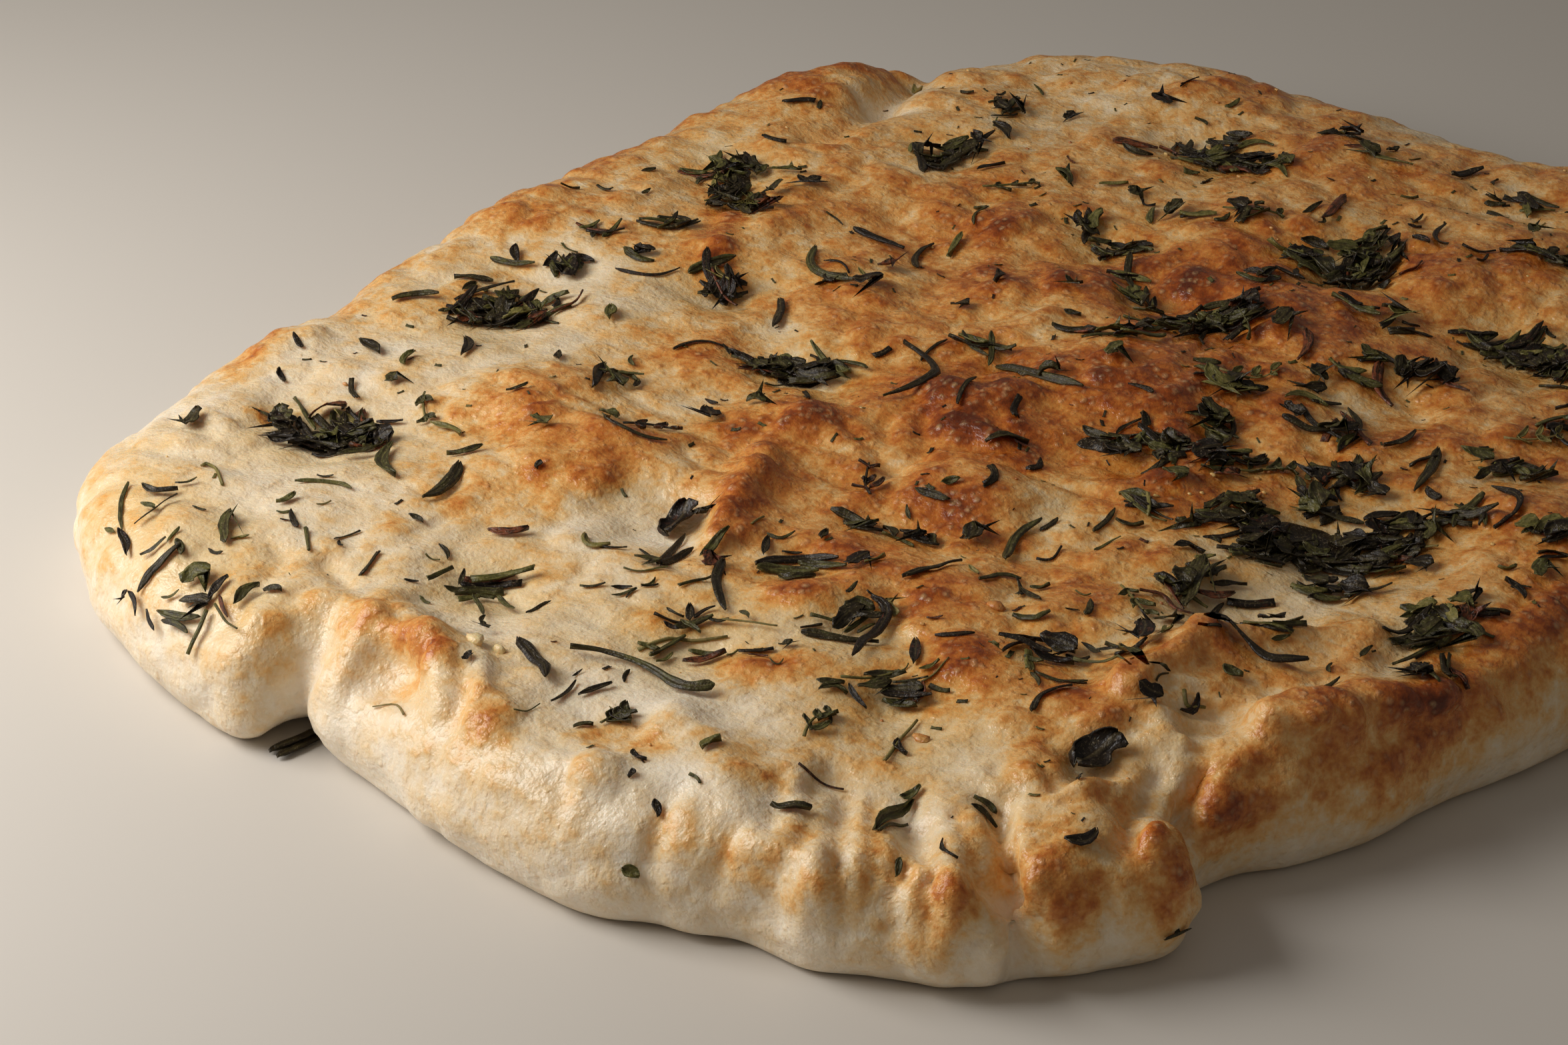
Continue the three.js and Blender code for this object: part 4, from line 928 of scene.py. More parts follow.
# %% Single leaves
SINGLES = table("""  # kind, width, places along it
    t 3 -78 -104 -66 -116, n 3 -60 -104 -55 -120, s 3.5 -116 -121 -113 -128, t 2.2 -61 -96 -65 -102,
    t 1.8 -45 -96 -44 -98, t 2.6 -38 -119 -32 -114, t 1.5 -53 -126 -49 -126, t 2 -79 -92 -69 -94,
    # the front left
    s 2.4 -71 -157 -76 -153 -80 -147, m 1.1 -72 -155 -70 -152,
    n 1.3 -80 -130 -77 -127 -73 -124 -69 -125, m 0.9 -79 -125 -76 -123,
    w 1 -99 -137 -100 -135 -95 -137 -89 -141, m 0.8 -73 -160 -70 -159, m 0.7 -86 -152 -83 -151,
    w 1 -64 -143 -57 -149, m 0.8 -73 -142 -71 -140, m 0.7 -70 -144 -68 -143,
    w 0.5 -69 -135 -68 -132, c 0.9 -57 -142 -57 -139 -56 -136, m 0.8 -56 -142 -54 -143,
    c 1.7 -44 -148 -46 -143 -47 -140, t 1.4 -41 -130 -37 -132, w 0.5 -40 -135 -37 -134,
    m 0.8 -36 -145 -34 -143, m 0.8 -31 -146 -28 -146, n 0.9 -12 -137 -13 -132 -12 -130,
    n 1.2 -16 -111 -12 -108, n 1.1 -10 -124 -6 -121,
    # the stalk end of the middle
    n 1.6 -3 -110 -7 -100 -10 -93, n 1.9 -3 -109 -4 -103 -4 -98, s 2.6 -7 -112 -5 -109 -2 -110,
    n 1 -7 -115 -4 -114 0 -110, m 1 -10 -107 -6 -108, t 2.2 1 -102 0 -96 0 -92,
    t 0.9 -5 -121 -1 -119, t 0.9 -3 -123 0 -119, t 0.9 0 -122 0 -119, t 0.9 0 -118 0 -114,
    t 0.8 0 -118 2 -115, n 2.3 5 -100 9 -107 14 -112 18 -115, w 0.9 6 -114 7 -110 8 -106,
    t 1.8 9 -92 5 -86, n 1 4 -85 7 -85 8 -81, n 0.9 10 -88 13 -85, w 0.7 1 -86 0 -81,
    n 2.5 10 -96 12 -90 15 -86 22 -85, n 2.4 15 -89 20 -87 26 -88, n 2.8 11 -97 15 -93 21 -90,
    t 2.6 17 -97 20 -98 22 -93, s 3 27 -89 25 -85 26 -81, t 2 28 -85 29 -82 28 -78,
    # behind the long needle
    c 1.9 12 -133 16 -132, n 2.1 17 -135 17 -130 17 -125, w 0.9 13 -134 15 -127 19 -124 23 -120,
    t 1.4 19 -136 19 -131, n 1.3 20 -128 22 -126 25 -125, t 2.4 22 -132 24 -130 27 -125,
    w 0.6 28 -126 28 -123, c 1.7 29 -124 32 -122 34 -120, m 0.8 32 -125 35 -123,
    m 0.6 36 -124 38 -122, s 2 34 -119 35 -116, m 1.1 19 -145 17 -141,
    t 1.2 14 -159 14 -154 13 -151, t 0.6 11 -150 11 -147, t 1.6 16 -154 17 -151 18 -147,
    s 1.4 -5 -162 -5 -159, w 0.4 12 -167 13 -165 13 -161, t 2.3 24 -154 28 -156,
    t 1.6 22 -162 24 -159, t 3 47 -156 48 -152, t 1.5 36 -162 40 -163, w 1 49 -162 52 -163,
    t 1.5 40 -167 41 -169, t 1.8 47 -169 49 -171, t 2.8 64 -159 70 -155, t 2.5 47 -178 50 -177,
    # the front right
    t 2.4 57 -108 54 -103 52 -100, w 0.5 55 -111 56 -108, t 1.2 59 -109 60 -108 61 -105,
    w 0.6 61 -111 62 -108 62 -104, c 1.1 63 -111 67 -110, t 1.2 54 -130 57 -133,
    n 2.1 37 -85 39 -80 40 -75 41 -71, t 1.2 43 -72 47 -74, n 1.6 49 -77 49 -74 49 -71 53 -69,
    t 1.6 55 -72 59 -74 63 -76, n 2.1 61 -83 64 -82 66 -82 67 -79, n 2.2 46 -64 41 -54 41 -45,
    m 1.6 43 -48 43 -42, n 1.5 52 -43 51 -34, n 0.9 57 -50 57 -45 58 -42, t 1.9 53 -37 58 -34,
    w 0.8 49 -58 52 -56 51 -52, n 1.3 72 -50 77 -53 82 -57, n 1.4 74 -60 77 -56 82 -59 85 -58,
    t 2.3 69 -41 70 -37 74 -38, m 1.5 86 -53 85 -47, c 2.6 85 -46 88 -44 92 -40,
    c 1.2 94 -71 96 -70 97 -68, s 1.8 87 -70 91 -73, t 1.3 103 -60 105 -56, s 3.2 96 -94 100 -92,
    w 0.5 97 -89 97 -85, n 1 76 -98 80 -101, n 1.1 77 -98 82 -97 86 -94, t 0.9 83 -98 87 -96,
    n 1.7 84 -109 83 -105 84 -102 86 -99, w 0.5 65 -68 68 -67, m 0.6 68 -76 70 -74,
    t 2.8 81 -152 80 -139, t 2 78 -140 80 -136, t 1.8 68 -127 72 -130, w 1 83 -152 83 -144,
    t 1.4 89 -154 90 -157, t 2.2 90 -135 94 -133, t 1.5 91 -137 95 -135, t 3 110 -136 113 -130,
    t 2.8 102 -75 106 -74, t 1 93 -147 98 -150,
    # farther back
    s 4 37 -63 33 -57, n 2.5 -25 -3 -12 -27, s 4 -40 -52 -34 -56, s 3.2 -59 -84 -52 -85,
    t 2.8 -68 -51 -60 -64, t 2 -48 -72 -45 -77, t 3 -117 -74 -109 -76, t 2.5 -99 -78 -102 -73,
    t 2.5 -93 -68 -99 -60, t 3 -84 -30 -81 -34, n 2.5 -122 -39 -115 -34, n 2.5 8 122 12 106,
    t 2.5 16 -29 22 -23, t 2 17 -54 25 -53, t 2 100 -32 96 -35, n 2.5 87 29 92 12, t 2 80 33 78 23,
    n 2.5 106 15 106 2, n 2 115 3 106 18, n 2.2 -70 24 -51 15, t 2.5 -50 53 -46 43,
    n 2.6 -70 38 -56 38, t 2.5 -31 39 -25 31, t 3 -80 106 -72 102, n 2.5 -61 1 -54 -11,
    t 2.5 -47 -32 -40 -27, n 2.5 -4 3 20 0, n 2.8 59 53 68 43, n 2.5 41 52 46 42, t 2 53 25 60 31,
    n 2.8 22 147 26 156, t 3 55 121 61 115
""")
CURVED = table("""  # kind, width, tint, places along it
    n 3 0.36 -4 -148 1 -150 6 -152 9 -155, w 0.7 0.1 61 -147 64 -146 69 -144,
    w 0.9 0.85 71 -135 68 -127 67 -120, w 0.9 0.8 101 -86 103 -88 105 -85,
    w 0.5 0.95 -9 -173 -14 -170 -18 -172, n 1.8 0.5 129 -131 130 -128 131 -124
""")
SPRIGS = table("""  # from x, y, to x, y, pairs of leaves
    56 -139 55 -130 3, 25 -158 27 -153 3, -46 -70 -36 -64 3, 70 -60 80 -66 3, 10 -60 2 -50 3,
    60 -4 68 4 3, -88 -84 -80 -92 2, 36 26 46 34 3, -60 74 -52 84 3, 96 40 104 50 3, -8 96 4 102 3,
    58 140 66 148 3
""")
SMALL_CLUMPS = table("""  # x, y, reach along and across, turn, way of lying, number of leaves
    75 -1 9 8 0 mat 14, 106 8 6 5 0 mat 8, 130 -50 8 5 -20 mat 8, -114 -23 9 6 20 loose 9,
    -106 -4 9 5 0 loose 7, -105 15 5 7 60 loose 7, -86 111 5 6 0 loose 6, -41 119 5 7 0 loose 6,
    -2 57 9 4 -30 mat 8, 16 76 6 6 0 loose 7, 54 42 7 8 0 mat 10, 48 10 8 6 0 mat 11,
    19 -68 10 4 0 mat 10, -51 13 6 4 0 loose 6, -11 8 6 4 0 loose 6, 43 147 9 7 0 mat 10,
    104 96 9 7 0 mat 10, 88 132 8 6 30 mat 9, 132 28 7 9 0 mat 9, 72 154 8 5 0 loose 7,
    126 84 6 7 0 mat 7, 60 -30 8 5 40 mat 9, 4 28 7 5 0 loose 6, 60 -2 10 4 30 mat 14,
    76 12 9 4 50 mat 12, 102 -26 8 4 20 mat 10, 36 22 9 4 30 mat 11, 104 30 10 4 40 mat 12,
    68 56 10 4 20 mat 12, 92 84 9 4 50 mat 11, 12 30 8 4 40 mat 9, 46 70 9 4 30 mat 10,
    -8 92 8 4 40 mat 8, 62 120 9 4 20 mat 10, 126 4 8 4 60 mat 9, 98 -56 7 4 30 mat 8,
    -60 -52 6 4 0 loose 5, 64 22 8 6 0 mat 10, 0 148 8 5 0 mat 9
""")
SHORT_NEEDLE = 9  # mm, a shorter one needs fewer points
by_kind = {kind: [] for kind in "ntswb"}


def keep(kind, laid):
    """Files a laid leaf under the piece that it belongs to."""
    by_kind["n" if kind in "mc" else kind].append(laid)


def tint_of(rng):
    """Mostly near black, now and then green, straw or red-brown."""
    return 0.04 if rng.random() < 0.04 else min(1.0, max(0.22, rng.gauss(0.45, 0.15)))


def lay_listed(kind, width, places, rng, lift=0.05):
    """A leaf of a list, whose places are x, y, x, y and so on. Stems are paler."""
    route = np.reshape(places, (-1, 2))
    length = float(np.abs(route[-1] - route[0]).sum())
    leaf = KINDS["m"] if kind == "n" and length < SHORT_NEEDLE else KINDS[kind]
    bend = rng.gauss(0, 0.10) * length if len(route) == 2 else 0
    return lay(leaf, route, width, bend, lift, 0, rng.gauss(0, 0.3), rng.gauss(0, 0.6),
               rng.uniform(0, 0.5), tint_of(rng) + (0.25 if kind == "w" else 0))


for kind, width, *places in SINGLES:
    keep(kind, lay_listed(kind, width, places, rng))
for kind, width, tint, *places in CURVED:
    keep(kind, lay(KINDS[kind], np.reshape(places, (-1, 2)), width, curl=0.3, tint=tint))
print("placed one by one:", len(SINGLES) + len(CURVED))

# %% [markdown]
# ## Sprigs, mats and loose leaves
# Herbs seldom fall singly. A thyme sprig keeps its leaves in pairs on a stem. A pinch of chopped
# herbs lands as a mat: a few bunches side by side, each with its leaves mostly one way. In a loose
# clump they lie more crosswise. Each way of lying is a short rule with seeded draws, because by
# hand a thousand leaves would take days.

# %% Ways of lying
WAYS = {  # kinds to draw from, and how far their headings spread in radians
    "mat": ("nnmmcctttsss", 0.4), "loose": ("nmmttts", 0.8), "listed": ("nmmttts", 0.8),
}
CLUMP_LENGTHS = {"n": (8, 15), "t": (4, 8), "s": (4, 8), "other": (4, 10)}
LOWEST_HERB = 17  # mm, a leaf that reaches lower crust would hang over the rim


def towards(x, y, heading, length):
    """The place this far from x, y."""
    return x + np.cos(heading) * length, y + np.sin(heading) * length


def turned_place(x, y, a, b, degrees):
    """The place a along and b across from x, y, in a frame turned by so many degrees."""
    c, s = np.cos(np.radians(degrees)), np.sin(np.radians(degrees))
    return x + a * c - b * s, y + a * s + b * c


def drawn_length(kind, lengths, rng):
    """A seeded length. Every kind has a draw of its own, so changing one leaves the rest alone."""
    drawn = {name: rng.uniform(*limits) for name, limits in lengths.items()}
    return drawn.get(kind, drawn["other"])


def sprig(x0, y0, x1, y1, pairs, rng):
    """A thin stem with leaves in pairs."""
    tint = tint_of(rng) + 0.08
    length = np.hypot(x1 - x0, y1 - y0)
    heading = np.arctan2(y1 - y0, x1 - x0)
    bend = rng.gauss(0, 0.08) * length
    found = [("w", lay(stem, ((x0, y0), (x1, y1)), 0.7, bend, 0.5, tint=tint + 0.2))]
    for k in range(pairs):
        share = (k + 0.6) / pairs
        x, y = x0 + (x1 - x0) * share, y0 + (y1 - y0) * share
        for hand in (-1, 1):
            aim = heading + hand * rng.uniform(0.4, 1.0)
            reach = rng.uniform(2.6, 4.6) * (1.15 - 0.4 * share)
            found.append(("t", lay(
                thyme, ((x, y), towards(x, y, aim, reach)), rng.uniform(1.3, 2.1),
                rng.gauss(0, 0.1) * reach, 0.4, rng.uniform(-0.05, 0.2),
                hand * rng.uniform(0, 0.7), 0, 0.2, tint)))
    return found


def lying(clump, rng, lifted):
    """Seeded leaves for a clump, in bunches. None hangs over the rim."""
    x, y, along, across, turn, way, count = clump
    kinds, spread = WAYS[way]
    bunches = []
    for _ in range(2 + count // 9):
        angle, share = rng.uniform(0, 2 * np.pi), rng.random() ** 0.6
        a, b = along * share * np.cos(angle), across * share * np.sin(angle)
        grain = np.radians(turn) + rng.gauss(0, 0.5)
        bunches.append((*turned_place(x, y, a, b, turn), grain, share))
    found = []
    for _ in range(count):
        kind = rng.choice(kinds)
        length = drawn_length(kind, CLUMP_LENGTHS, rng)
        width = rng.uniform(2.6, 4.6) if kind == "s" else rng.uniform(1.3, 2.7)
        bx, by, grain, share = rng.choice(bunches)
        cx, cy = bx + rng.gauss(0, 0.26) * along, by + rng.gauss(0, 0.26) * across
        height = lifted * rng.random() * max(0.1, 1 - share) + 0.1
        heading = grain + rng.gauss(0, spread)
        ends = [towards(cx, cy, heading, reach) for reach in (-length / 2, length / 2)]
        if min(height_at(*place) for place in (*ends, (cx, cy))) < LOWEST_HERB:
            continue
        found.append((kind, lay(
            KINDS[kind], ends, width, rng.gauss(0, 0.12) * length, height,
            rng.gauss(0.02, 0.09), rng.gauss(0, 0.4), rng.gauss(0, 0.8), rng.uniform(-0.1, 0.6),
            tint_of(rng))))
    return found


for place in SPRIGS:
    for kind, laid in sprig(*place, rng):
        keep(kind, laid)
for clump in SMALL_CLUMPS:
    for kind, laid in lying(clump, rng, 1.0):
        keep(kind, laid)
print("sprigs:", len(SPRIGS), "small clumps:", len(SMALL_CLUMPS))

# %% Drifts of leaves and chopped bits
RIM_KEPT_BARE = 12  # hardly anything lies this near to the outline
LOWEST_SINGLE = 18  # mm, nor on crust below this
HALF_WIDTH, HALF_LENGTH = 140, 172  # mm, where places are drawn
LEAVES, BITS = 170, 420
SINGLE_LENGTHS = {"n": (9, 16), "s": (3.5, 7), "other": (3, 8)}


def drift_at(x, y):
    """How thickly herbs lie, 0 to 1: thin at the front left, thick in the middle and right."""
    inwards = 0.45 * np.clip((y + 110) / 150, 0, 1) * np.clip((x + 150) / 220, 0, 1)
    return 0.22 + inwards + 0.15 * (x > 0) + 0.35 * wobble(x, y, 31, 26)


def scatter(count, rng):
    """Seeded places on the top, closer together in the drifts."""
    places = []
    while len(places) < count:
        x, y = rng.uniform(-HALF_WIDTH, HALF_WIDTH), rng.uniform(-HALF_LENGTH, HALF_LENGTH)
        on_top = rim_finder.find((x, y, 0))[2] > RIM_KEPT_BARE and height_at(x, y) > LOWEST_SINGLE
        if on_top and rng.random() < drift_at(x, y):
            places.append((x, y))
    return places


for x, y in scatter(LEAVES, rng):
    heading, kind = rng.uniform(0, np.pi), rng.choice("nmmccttttss")
    length = drawn_length(kind, SINGLE_LENGTHS, rng)
    width = rng.uniform(2.2, 4.2) if kind == "s" else rng.uniform(1.0, 2.3)
    keep(kind, lay(KINDS[kind], ((x, y), towards(x, y, heading, length)), width,
                   rng.gauss(0, 0.14) * length, 0.05, 0, rng.gauss(0, 0.35), rng.gauss(0, 0.8),
                   rng.uniform(0, 0.7), tint_of(rng)))
for x, y in scatter(BITS, rng):
    heading, length = rng.uniform(0, 2 * np.pi), rng.uniform(0.6, 2.2)
    keep("b", lay(bit, ((x, y), towards(x, y, heading, length)), length * rng.uniform(0.2, 0.55),
                  roll=rng.gauss(0, 0.3), curl=0.1, tint=tint_of(rng) + rng.uniform(0, 0.2)))
PIECES = {"n": "rosemary_needles", "t": "thyme_leaves", "s": "sage_scraps", "w": "stems",
          "b": "chopped_bits"}
for kind, name in PIECES.items():
    laid = by_kind[kind]
    gather(name, herb.material, laid)
    print(name, len(laid), "leaves,", sum(leaf.triangles for leaf, *_ in laid), "triangles")

# %% [markdown]
# ## Clumps
# Where a pinch of herbs fell together it bakes into a low clump. A thick mat gets a small dark
# core, so that no bread shines through, with leaves over and round it. The front clumps are loose
# enough to tell each leaf apart, so theirs are listed one by one, the lowest first. Each clump is a
# piece of its own, as its solid is.

# %% Clump pieces
class Lump:
    """A ball, rough or smooth, whose points can be placed like a leaf's."""

    def __init__(self, name, subdivisions, roughness):
        ball = bmesh.new()
        bmesh.ops.create_icosphere(ball, subdivisions=subdivisions, radius=1)
        for p in ball.verts:
            uneven = wobble(p.co.x * 0.5, p.co.y * 0.5 + p.co.z * 0.3, 51)
            p.co *= 1 - roughness / 2 + roughness * uneven
        self.mesh = mesh_from(ball, name)
        self.corners = read_rows(self.mesh.vertices, "co")
        self.marks = np.tile([0.5, 0.9, 1.0], (len(self.corners), 1))


CORE_SHARE, CORE_HEIGHT, CORE_TINT = 0.42, 1.0, 0.30  # of the clump's reach, mm, near black
mound = Lump("mound", 3, 0)


def lay_mound(x, y, along, across, turn, seed):
    """Places of a low dome's points on the crust. Its underside lies just inside the bread."""
    along, across = along * CORE_SHARE, across * CORE_SHARE
    places = []
    for px, py, pz in mound.corners:
        reach = 1 + 0.5 * wobble(px * 0.4, py * 0.4, seed)
        ground, up = on_crust(*turned_place(x, y, px * along * reach, py * across * reach, turn))
        bumpy = CORE_HEIGHT * (0.6 + 0.5 * wobble(px * 0.9, py * 0.9, seed + 1))
        places.append(ground + up * (bumpy * pz if pz > 0 else 0.4 * pz))
    return mound, np.array(places), CORE_TINT


LISTED = table("""  # clump, kind, width, places along each leaf, the lowest first
    2 n 1.1 -105 -151 -102 -156 -98 -160 -94 -163, 2 t 1.2 -100 -162 -96 -163,
    2 t 2.1 -95 -163 -91 -165 -88 -167, 2 t 2.1 -101 -151 -97 -152 -94 -148,
    2 n 0.9 -96 -147 -94 -143, 2 t 1.7 -95 -157 -91 -157, 2 n 0.9 -92 -150 -91 -156 -91 -162,
    3 n 1 -82 -159 -80 -164, 3 n 1.9 -77 -163 -78 -167 -79 -170 -79 -173, 3 m 1.8 -79 -163 -75 -165,
    3 t 1.2 -81 -163 -84 -167,
    4 s 2.8 -67 -173 -64 -171 -60 -172, 4 t 2.2 -71 -175 -66 -175 -60 -174,
    4 s 3.8 -70 -170 -70 -167 -66 -166, 4 t 2.2 -62 -165 -62 -168 -61 -171,
    4 n 0.8 -72 -173 -69 -171, 4 t 2.3 -55 -171 -56 -167 -55 -164, 4 m 0.9 -59 -170 -54 -173,
    4 w 1.2 -59 -173 -58 -177 -58 -179, 4 w 0.6 -58 -172 -53 -174 -49 -175,
    4 n 1.4 -68 -176 -64 -176 -60 -177, 4 n 1.2 -80 -173 -78 -174 -75 -176,
    4 n 1 -73 -175 -72 -176 -69 -177, 4 s 1.8 -81 -173 -79 -174,
    5 c 2.4 -31 -135 -28 -131 -25 -126, 5 c 2.4 -30 -136 -26 -131 -21 -128,
    5 c 2.2 -29 -139 -27 -134 -23 -131, 5 c 1.1 -34 -141 -34 -138 -34 -134,
    5 c 1.5 -26 -141 -24 -137, 5 c 1.2 -25 -137 -22 -135, 5 n 1.2 -22 -134 -18 -136 -14 -138,
    5 n 1.1 -25 -138 -21 -140 -17 -143, 5 t 1 -17 -143 -14 -147, 5 s 1.6 -14 -147 -11 -148,
    5 t 1.4 -30 -141 -26 -138, 5 t 1.1 -29 -138 -32 -133, 5 c 2 -29 -134 -25 -128 -20 -125,
    6 n 1.6 9 -125 12 -124 15 -122, 6 t 1.9 15 -121 13 -119 11 -117,
    6 n 2.1 14 -125 16 -122 18 -118, 6 m 1.1 15 -120 16 -115, 6 m 1.2 17 -119 21 -117,
    6 t 1 9 -121 13 -121, 6 t 1.1 12 -126 15 -125, 6 w 0.6 20 -118 24 -116 30 -114,
    6 t 1 21 -114 24 -115, 6 t 1.6 14 -123 19 -123,
    7 n 2.4 34 -112 38 -110 42 -108 46 -104, 7 s 3.4 36 -107 36 -102 38 -98,
    7 s 2.4 35 -101 35 -97 39 -96, 7 m 1 35 -94 38 -93, 7 n 1.1 39 -106 39 -102 40 -98,
    7 n 1.3 41 -104 42 -100, 7 w 1 32 -107 34 -106 36 -105, 7 m 1 33 -98 33 -94,
    7 t 2.2 38 -101 42 -97, 7 n 2.4 37 -95 40 -94 43 -97 44 -101 45 -107 47 -112 48 -115,
    8 s 3.2 57 -116 60 -114 63 -112, 8 t 1.8 47 -124 51 -121, 8 t 1.8 49 -126 53 -123,
    8 t 2.6 58 -119 61 -118 65 -117, 8 t 2.2 62 -111 64 -114 64 -117,
    8 s 2.8 54 -121 55 -117 56 -114, 8 t 2.2 52 -117 54 -114 58 -111,
    8 t 1.3 52 -121 55 -123 58 -124, 8 w 0.8 50 -121 53 -117 56 -111,
    8 w 0.7 57 -114 60 -112 62 -110, 8 n 2 57 -118 60 -116 66 -114,
    9 t 2.6 71 -92 75 -91 80 -90, 9 t 2 69 -97 69 -92 70 -88, 9 t 1.8 66 -92 67 -89 71 -87,
    9 s 3.8 70 -87 73 -85 78 -85, 9 m 1.6 77 -88 81 -86, 9 m 1.3 72 -95 76 -94,
    9 s 1.6 66 -98 67 -96, 9 t 1.1 77 -83 79 -83 83 -85, 9 t 1 81 -84 86 -82, 9 s 3.6 84 -74 89 -81,
    9 t 2.8 85 -83 90 -86 95 -89, 9 w 0.8 80 -90 86 -88 93 -91, 9 t 0.9 94 -88 97 -86,
    9 t 2.2 74 -89 79 -88, 9 n 1.8 66 -95 70 -93 76 -92,
    10 s 3.8 83 -56 79 -49 76 -40, 10 t 2.8 78 -54 78 -46, 10 t 2.4 74 -44 80 -42,
    10 n 1.6 73 -52 78 -51 84 -52, 10 m 1.4 74 -41 77 -38, 10 t 2.4 80 -50 85 -44
""")
clump_count = 0
for number, clump in enumerate(CLUMPS, 1):
    *oval, way, count = clump
    laid = []
    if way == "mat":
        laid.append(lay_mound(*oval, 30 + number))
    listed = [leaf for home, *leaf in LISTED if home == number]
    for layer, (kind, width, *places) in enumerate(listed):
        laid.append(lay_listed(kind, width, places, rng, 0.1 + 0.12 * layer))
    laid += [leaf for _, leaf in lying(clump, rng, 2.0)]
    gather(f"herbs_{number:02d}", herb.material, laid, [f"herb_clump_{number:02d}"])
    clump_count += len(laid)
print("clumps:", len(CLUMPS), "with", clump_count, "leaves")

# %% [markdown]
# ## The large single leaves
# Two long rosemary needles and two broad sage leaves stand out by themselves. Each follows its own
# route of a few points over the crust. The long needle is thin at its stalk and thickens to a blunt
# tip. They get finer shapes than the small leaves, because their outline is seen.

# %% Large leaves
def club_outline(s, t):
    blunt = (0.28 + 0.62 * s**0.8) * min(1, ((1 - s) / 0.06) ** 0.5 + 0.15)
    return blunt * (1 + 0.12 * wobble(s * 3, t * 0.3, 2))


def hook_outline(s, t):
    ends = min(1, 0.3 + (s / 0.12) ** 0.6, 0.3 + ((1 - s) / 0.5) ** 0.8)
    return ends * (1 + 0.10 * wobble(s * 3, t * 0.3, 7))


long_needle = Leaf("long_needle", 36, 8, 34, 3.6, club_outline, needle_section, 0.35)
hooked_needle = Leaf("hooked_needle", 30, 8, 24, 3.4, hook_outline, needle_section, 0.32)
sage_leaf = Leaf("sage_leaf", 18, 14, 11, 8, lambda s, t: scrap_outline(s, t) * 0.95,
                 lambda s, t: 0.9 * wobble(s * 0.9, t * 0.7, 9) + 0.9 * abs(t) ** 2.5, 0.26)
LARGE = [  # piece, its solid, shape, width, lift, roll, twist, curl, tint, stiffness, route
    ("long_rosemary", "rosemary_long", long_needle, 2.9, 0.5, 0.2, 0.6, 0.5, 0.52, 4,
     table("6 -145, 8 -142, 13 -140, 18 -139, 23 -139, 28 -141, 32 -141, 34 -137")),
    ("curled_rosemary", "rosemary_curled", hooked_needle, 3.0, 0.6, -0.3, 1.0, 1.2, 0.34, 3,
     table("93 -68, 97 -66, 102 -66, 107 -67, 110 -66, 112 -62")),
    ("front_sage", "sage_front", sage_leaf, 7.6, 0.5, 0.1, 0.5, 0.9, 0.30, 3,
     table("99 -104, 98 -116")),
    ("middle_sage", "sage_middle", sage_leaf, 7, 0.5, 0.3, 0.9, 0.8, 0.22, 3,
     table("-16 -84, -12 -95")),
]
for name, node, shape, width, lift, roll, twist, curl, tint, stiff, route in LARGE:
    laid = lay(shape, route, width, 0, lift, 0, roll, twist, curl, tint, stiff)
    gather(name, herb.material, [laid], [node])
print("large leaves:", len(LARGE))

# %% [markdown]
# ## Needles in the notch
# A few cut needles stick out of the pinched notch, under its lip. A ray from above would find the
# lip, so these are set straight along their two ends, at a height of their own. Three copies of one
# shape lie closely enough to read as a bundle.

# %% Notch needles
NEEDLES_IN_NOTCH = table("""  # from x, y, to x, y, width, height of the underside
    -40.5 -177.5 -38.5 -164.5 2.4 0.4, -38 -178 -36.6 -165.5 2.4 0.5, -39.6 -177 -37.4 -166 2 1.3
""")
NOTCH_TINT = 0.42
notch_laid = []
s = needle.along[:, None]
for x0, y0, x1, y1, width, height in NEEDLES_IN_NOTCH:
    flat = np.array([[x0, y0]]) * (1 - s) + np.array([[x1, y1]]) * s
    flat[:, 0] -= needle.across * width / 2
    places = np.hstack([flat, height + 0.8 * needle.above[:, None]])
    notch_laid.append((needle, places, NOTCH_TINT))
gather("notch_rosemary", herb.material, notch_laid, ["rosemary_notch"])
print("needles in the notch:", len(notch_laid))

# %% [markdown]
# ## Granules of garlic
# Dried garlic came with the herbs: small straw-coloured chips, amber where they toasted. Many fell
# near one spot on the right. Each starts as a rough little ball, is flattened, and is sunk a bit
# into the crust. They share a waxy material.

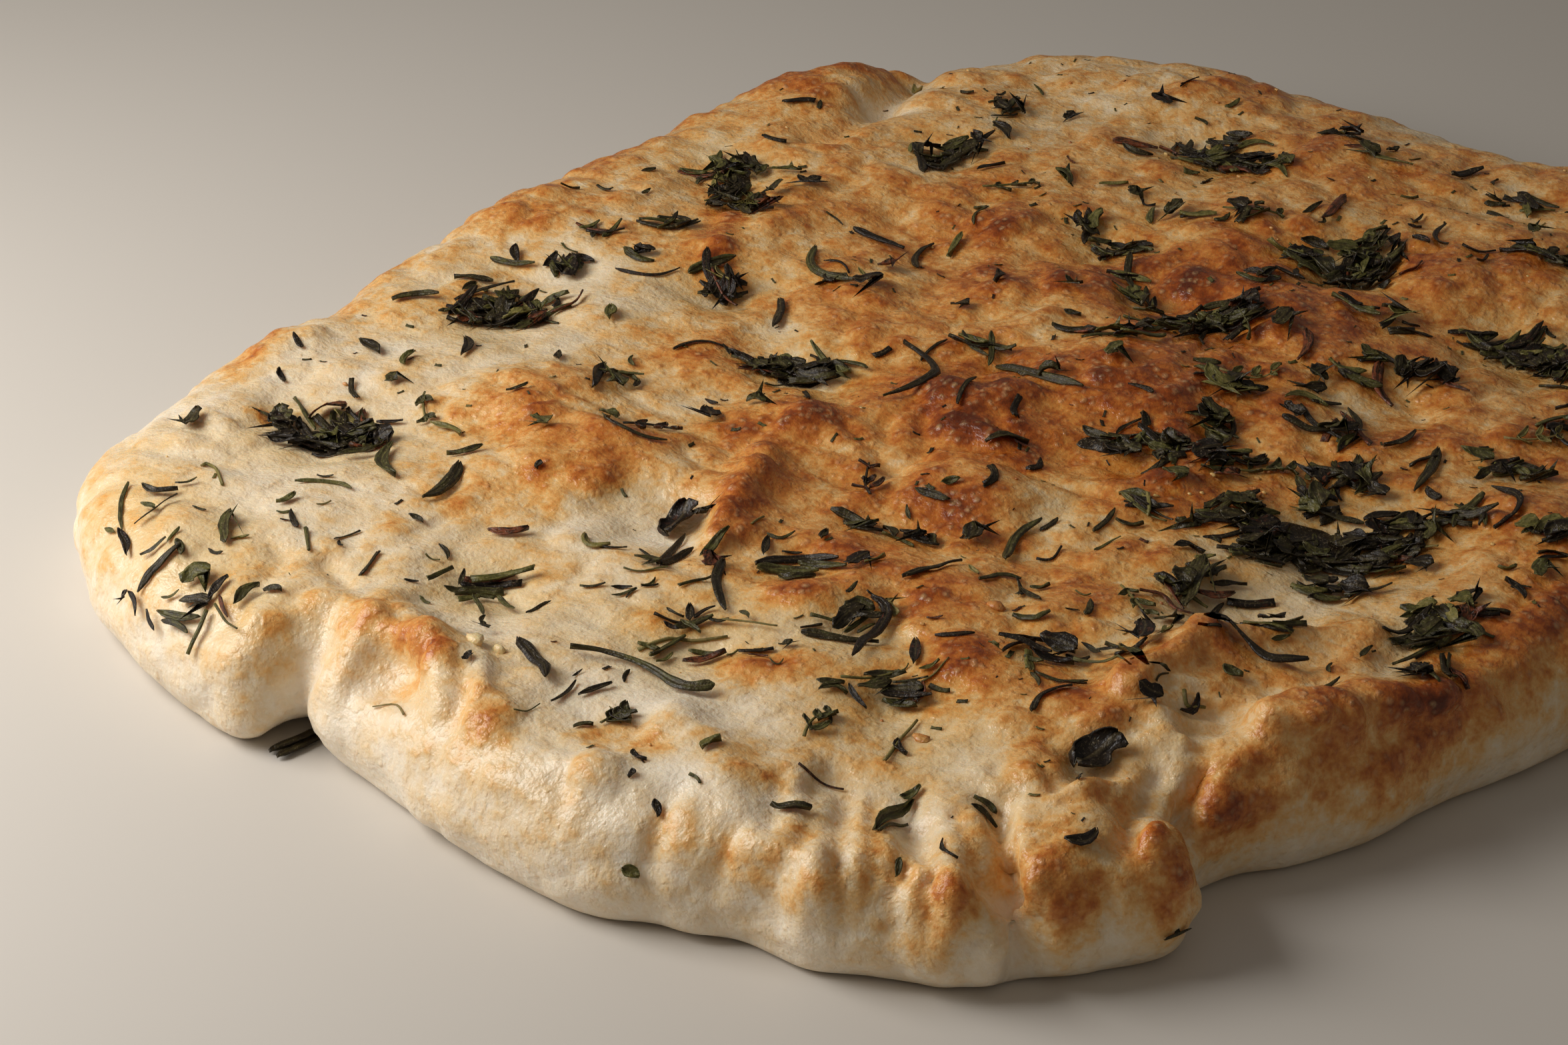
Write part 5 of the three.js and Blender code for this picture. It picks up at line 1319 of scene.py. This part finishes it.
# %% Garlic material
garlic = Finish("garlic")
garlic_shift = garlic.times(garlic.centred(garlic.noise(0.8, 3)), 0.5)
garlic.link(garlic.ramp(
    garlic.math("ADD", garlic.attribute("leaf", "Alpha"), garlic_shift),
    (0.0, 228, 208, 158), (0.45, 212, 172, 104), (0.75, 186, 120, 56), (1.0, 130, 70, 30)),
    "Base Color")
garlic.shader.inputs["Roughness"].default_value = 0.35
garlic.shader.inputs["Subsurface Weight"].default_value = 0.3
garlic.shader.inputs["Subsurface Scale"].default_value = 1.5 * MM
garlic.bumps(garlic.noise(0.6, 2), 0.2)
print("garlic nodes:", len(garlic.tree.nodes))

# %% Garlic chips
LARGE_CHIPS = table("""  # x, y, size, flatness, tint
    57 -82 2.4 0.4 0.75, 71 -124 2.3 0.35 0.65, -9 -154 2.6 0.5 0.05, -5 -152 2 0.6 0.1
""")
SPOT_CHIPS, SPREAD_CHIPS = 18, 50
SPOT_X, SPOT_Y, SPOT_REACH = 66, -12, 7  # mm
FLATNESS = 0.6
granule = Lump("granule", 2, 0.3)


def lay_granule(x, y, size, flatness, tint, rng):
    """Places of a chip's points, turned at random and partly sunk."""
    angle = rng.uniform(0, 6.3)
    axis = Vector((rng.random(), rng.random(), rng.random() + 0.1))
    turn = Matrix.Rotation(angle, 3, axis)
    corners = granule.corners @ np.array(turn) * np.array([1.0, 0.6, flatness]) * size
    return granule, corners + on_crust(x, y)[0] + np.array([0, 0, 0.35 * size * flatness]), tint


grains = [lay_granule(*chip, rng) for chip in LARGE_CHIPS]
for _ in range(SPOT_CHIPS):
    x, y = rng.gauss(SPOT_X, SPOT_REACH), rng.gauss(SPOT_Y, SPOT_REACH)
    grains.append(lay_granule(x, y, rng.uniform(0.5, 1.5), FLATNESS, rng.uniform(0.3, 0.9), rng))
for x, y in scatter(SPREAD_CHIPS, rng):
    grains.append(lay_granule(x, y, rng.uniform(0.3, 0.8), FLATNESS, rng.uniform(0.3, 1.0), rng))
gather("garlic_granules", garlic.material, grains)
print("granules:", len(grains))
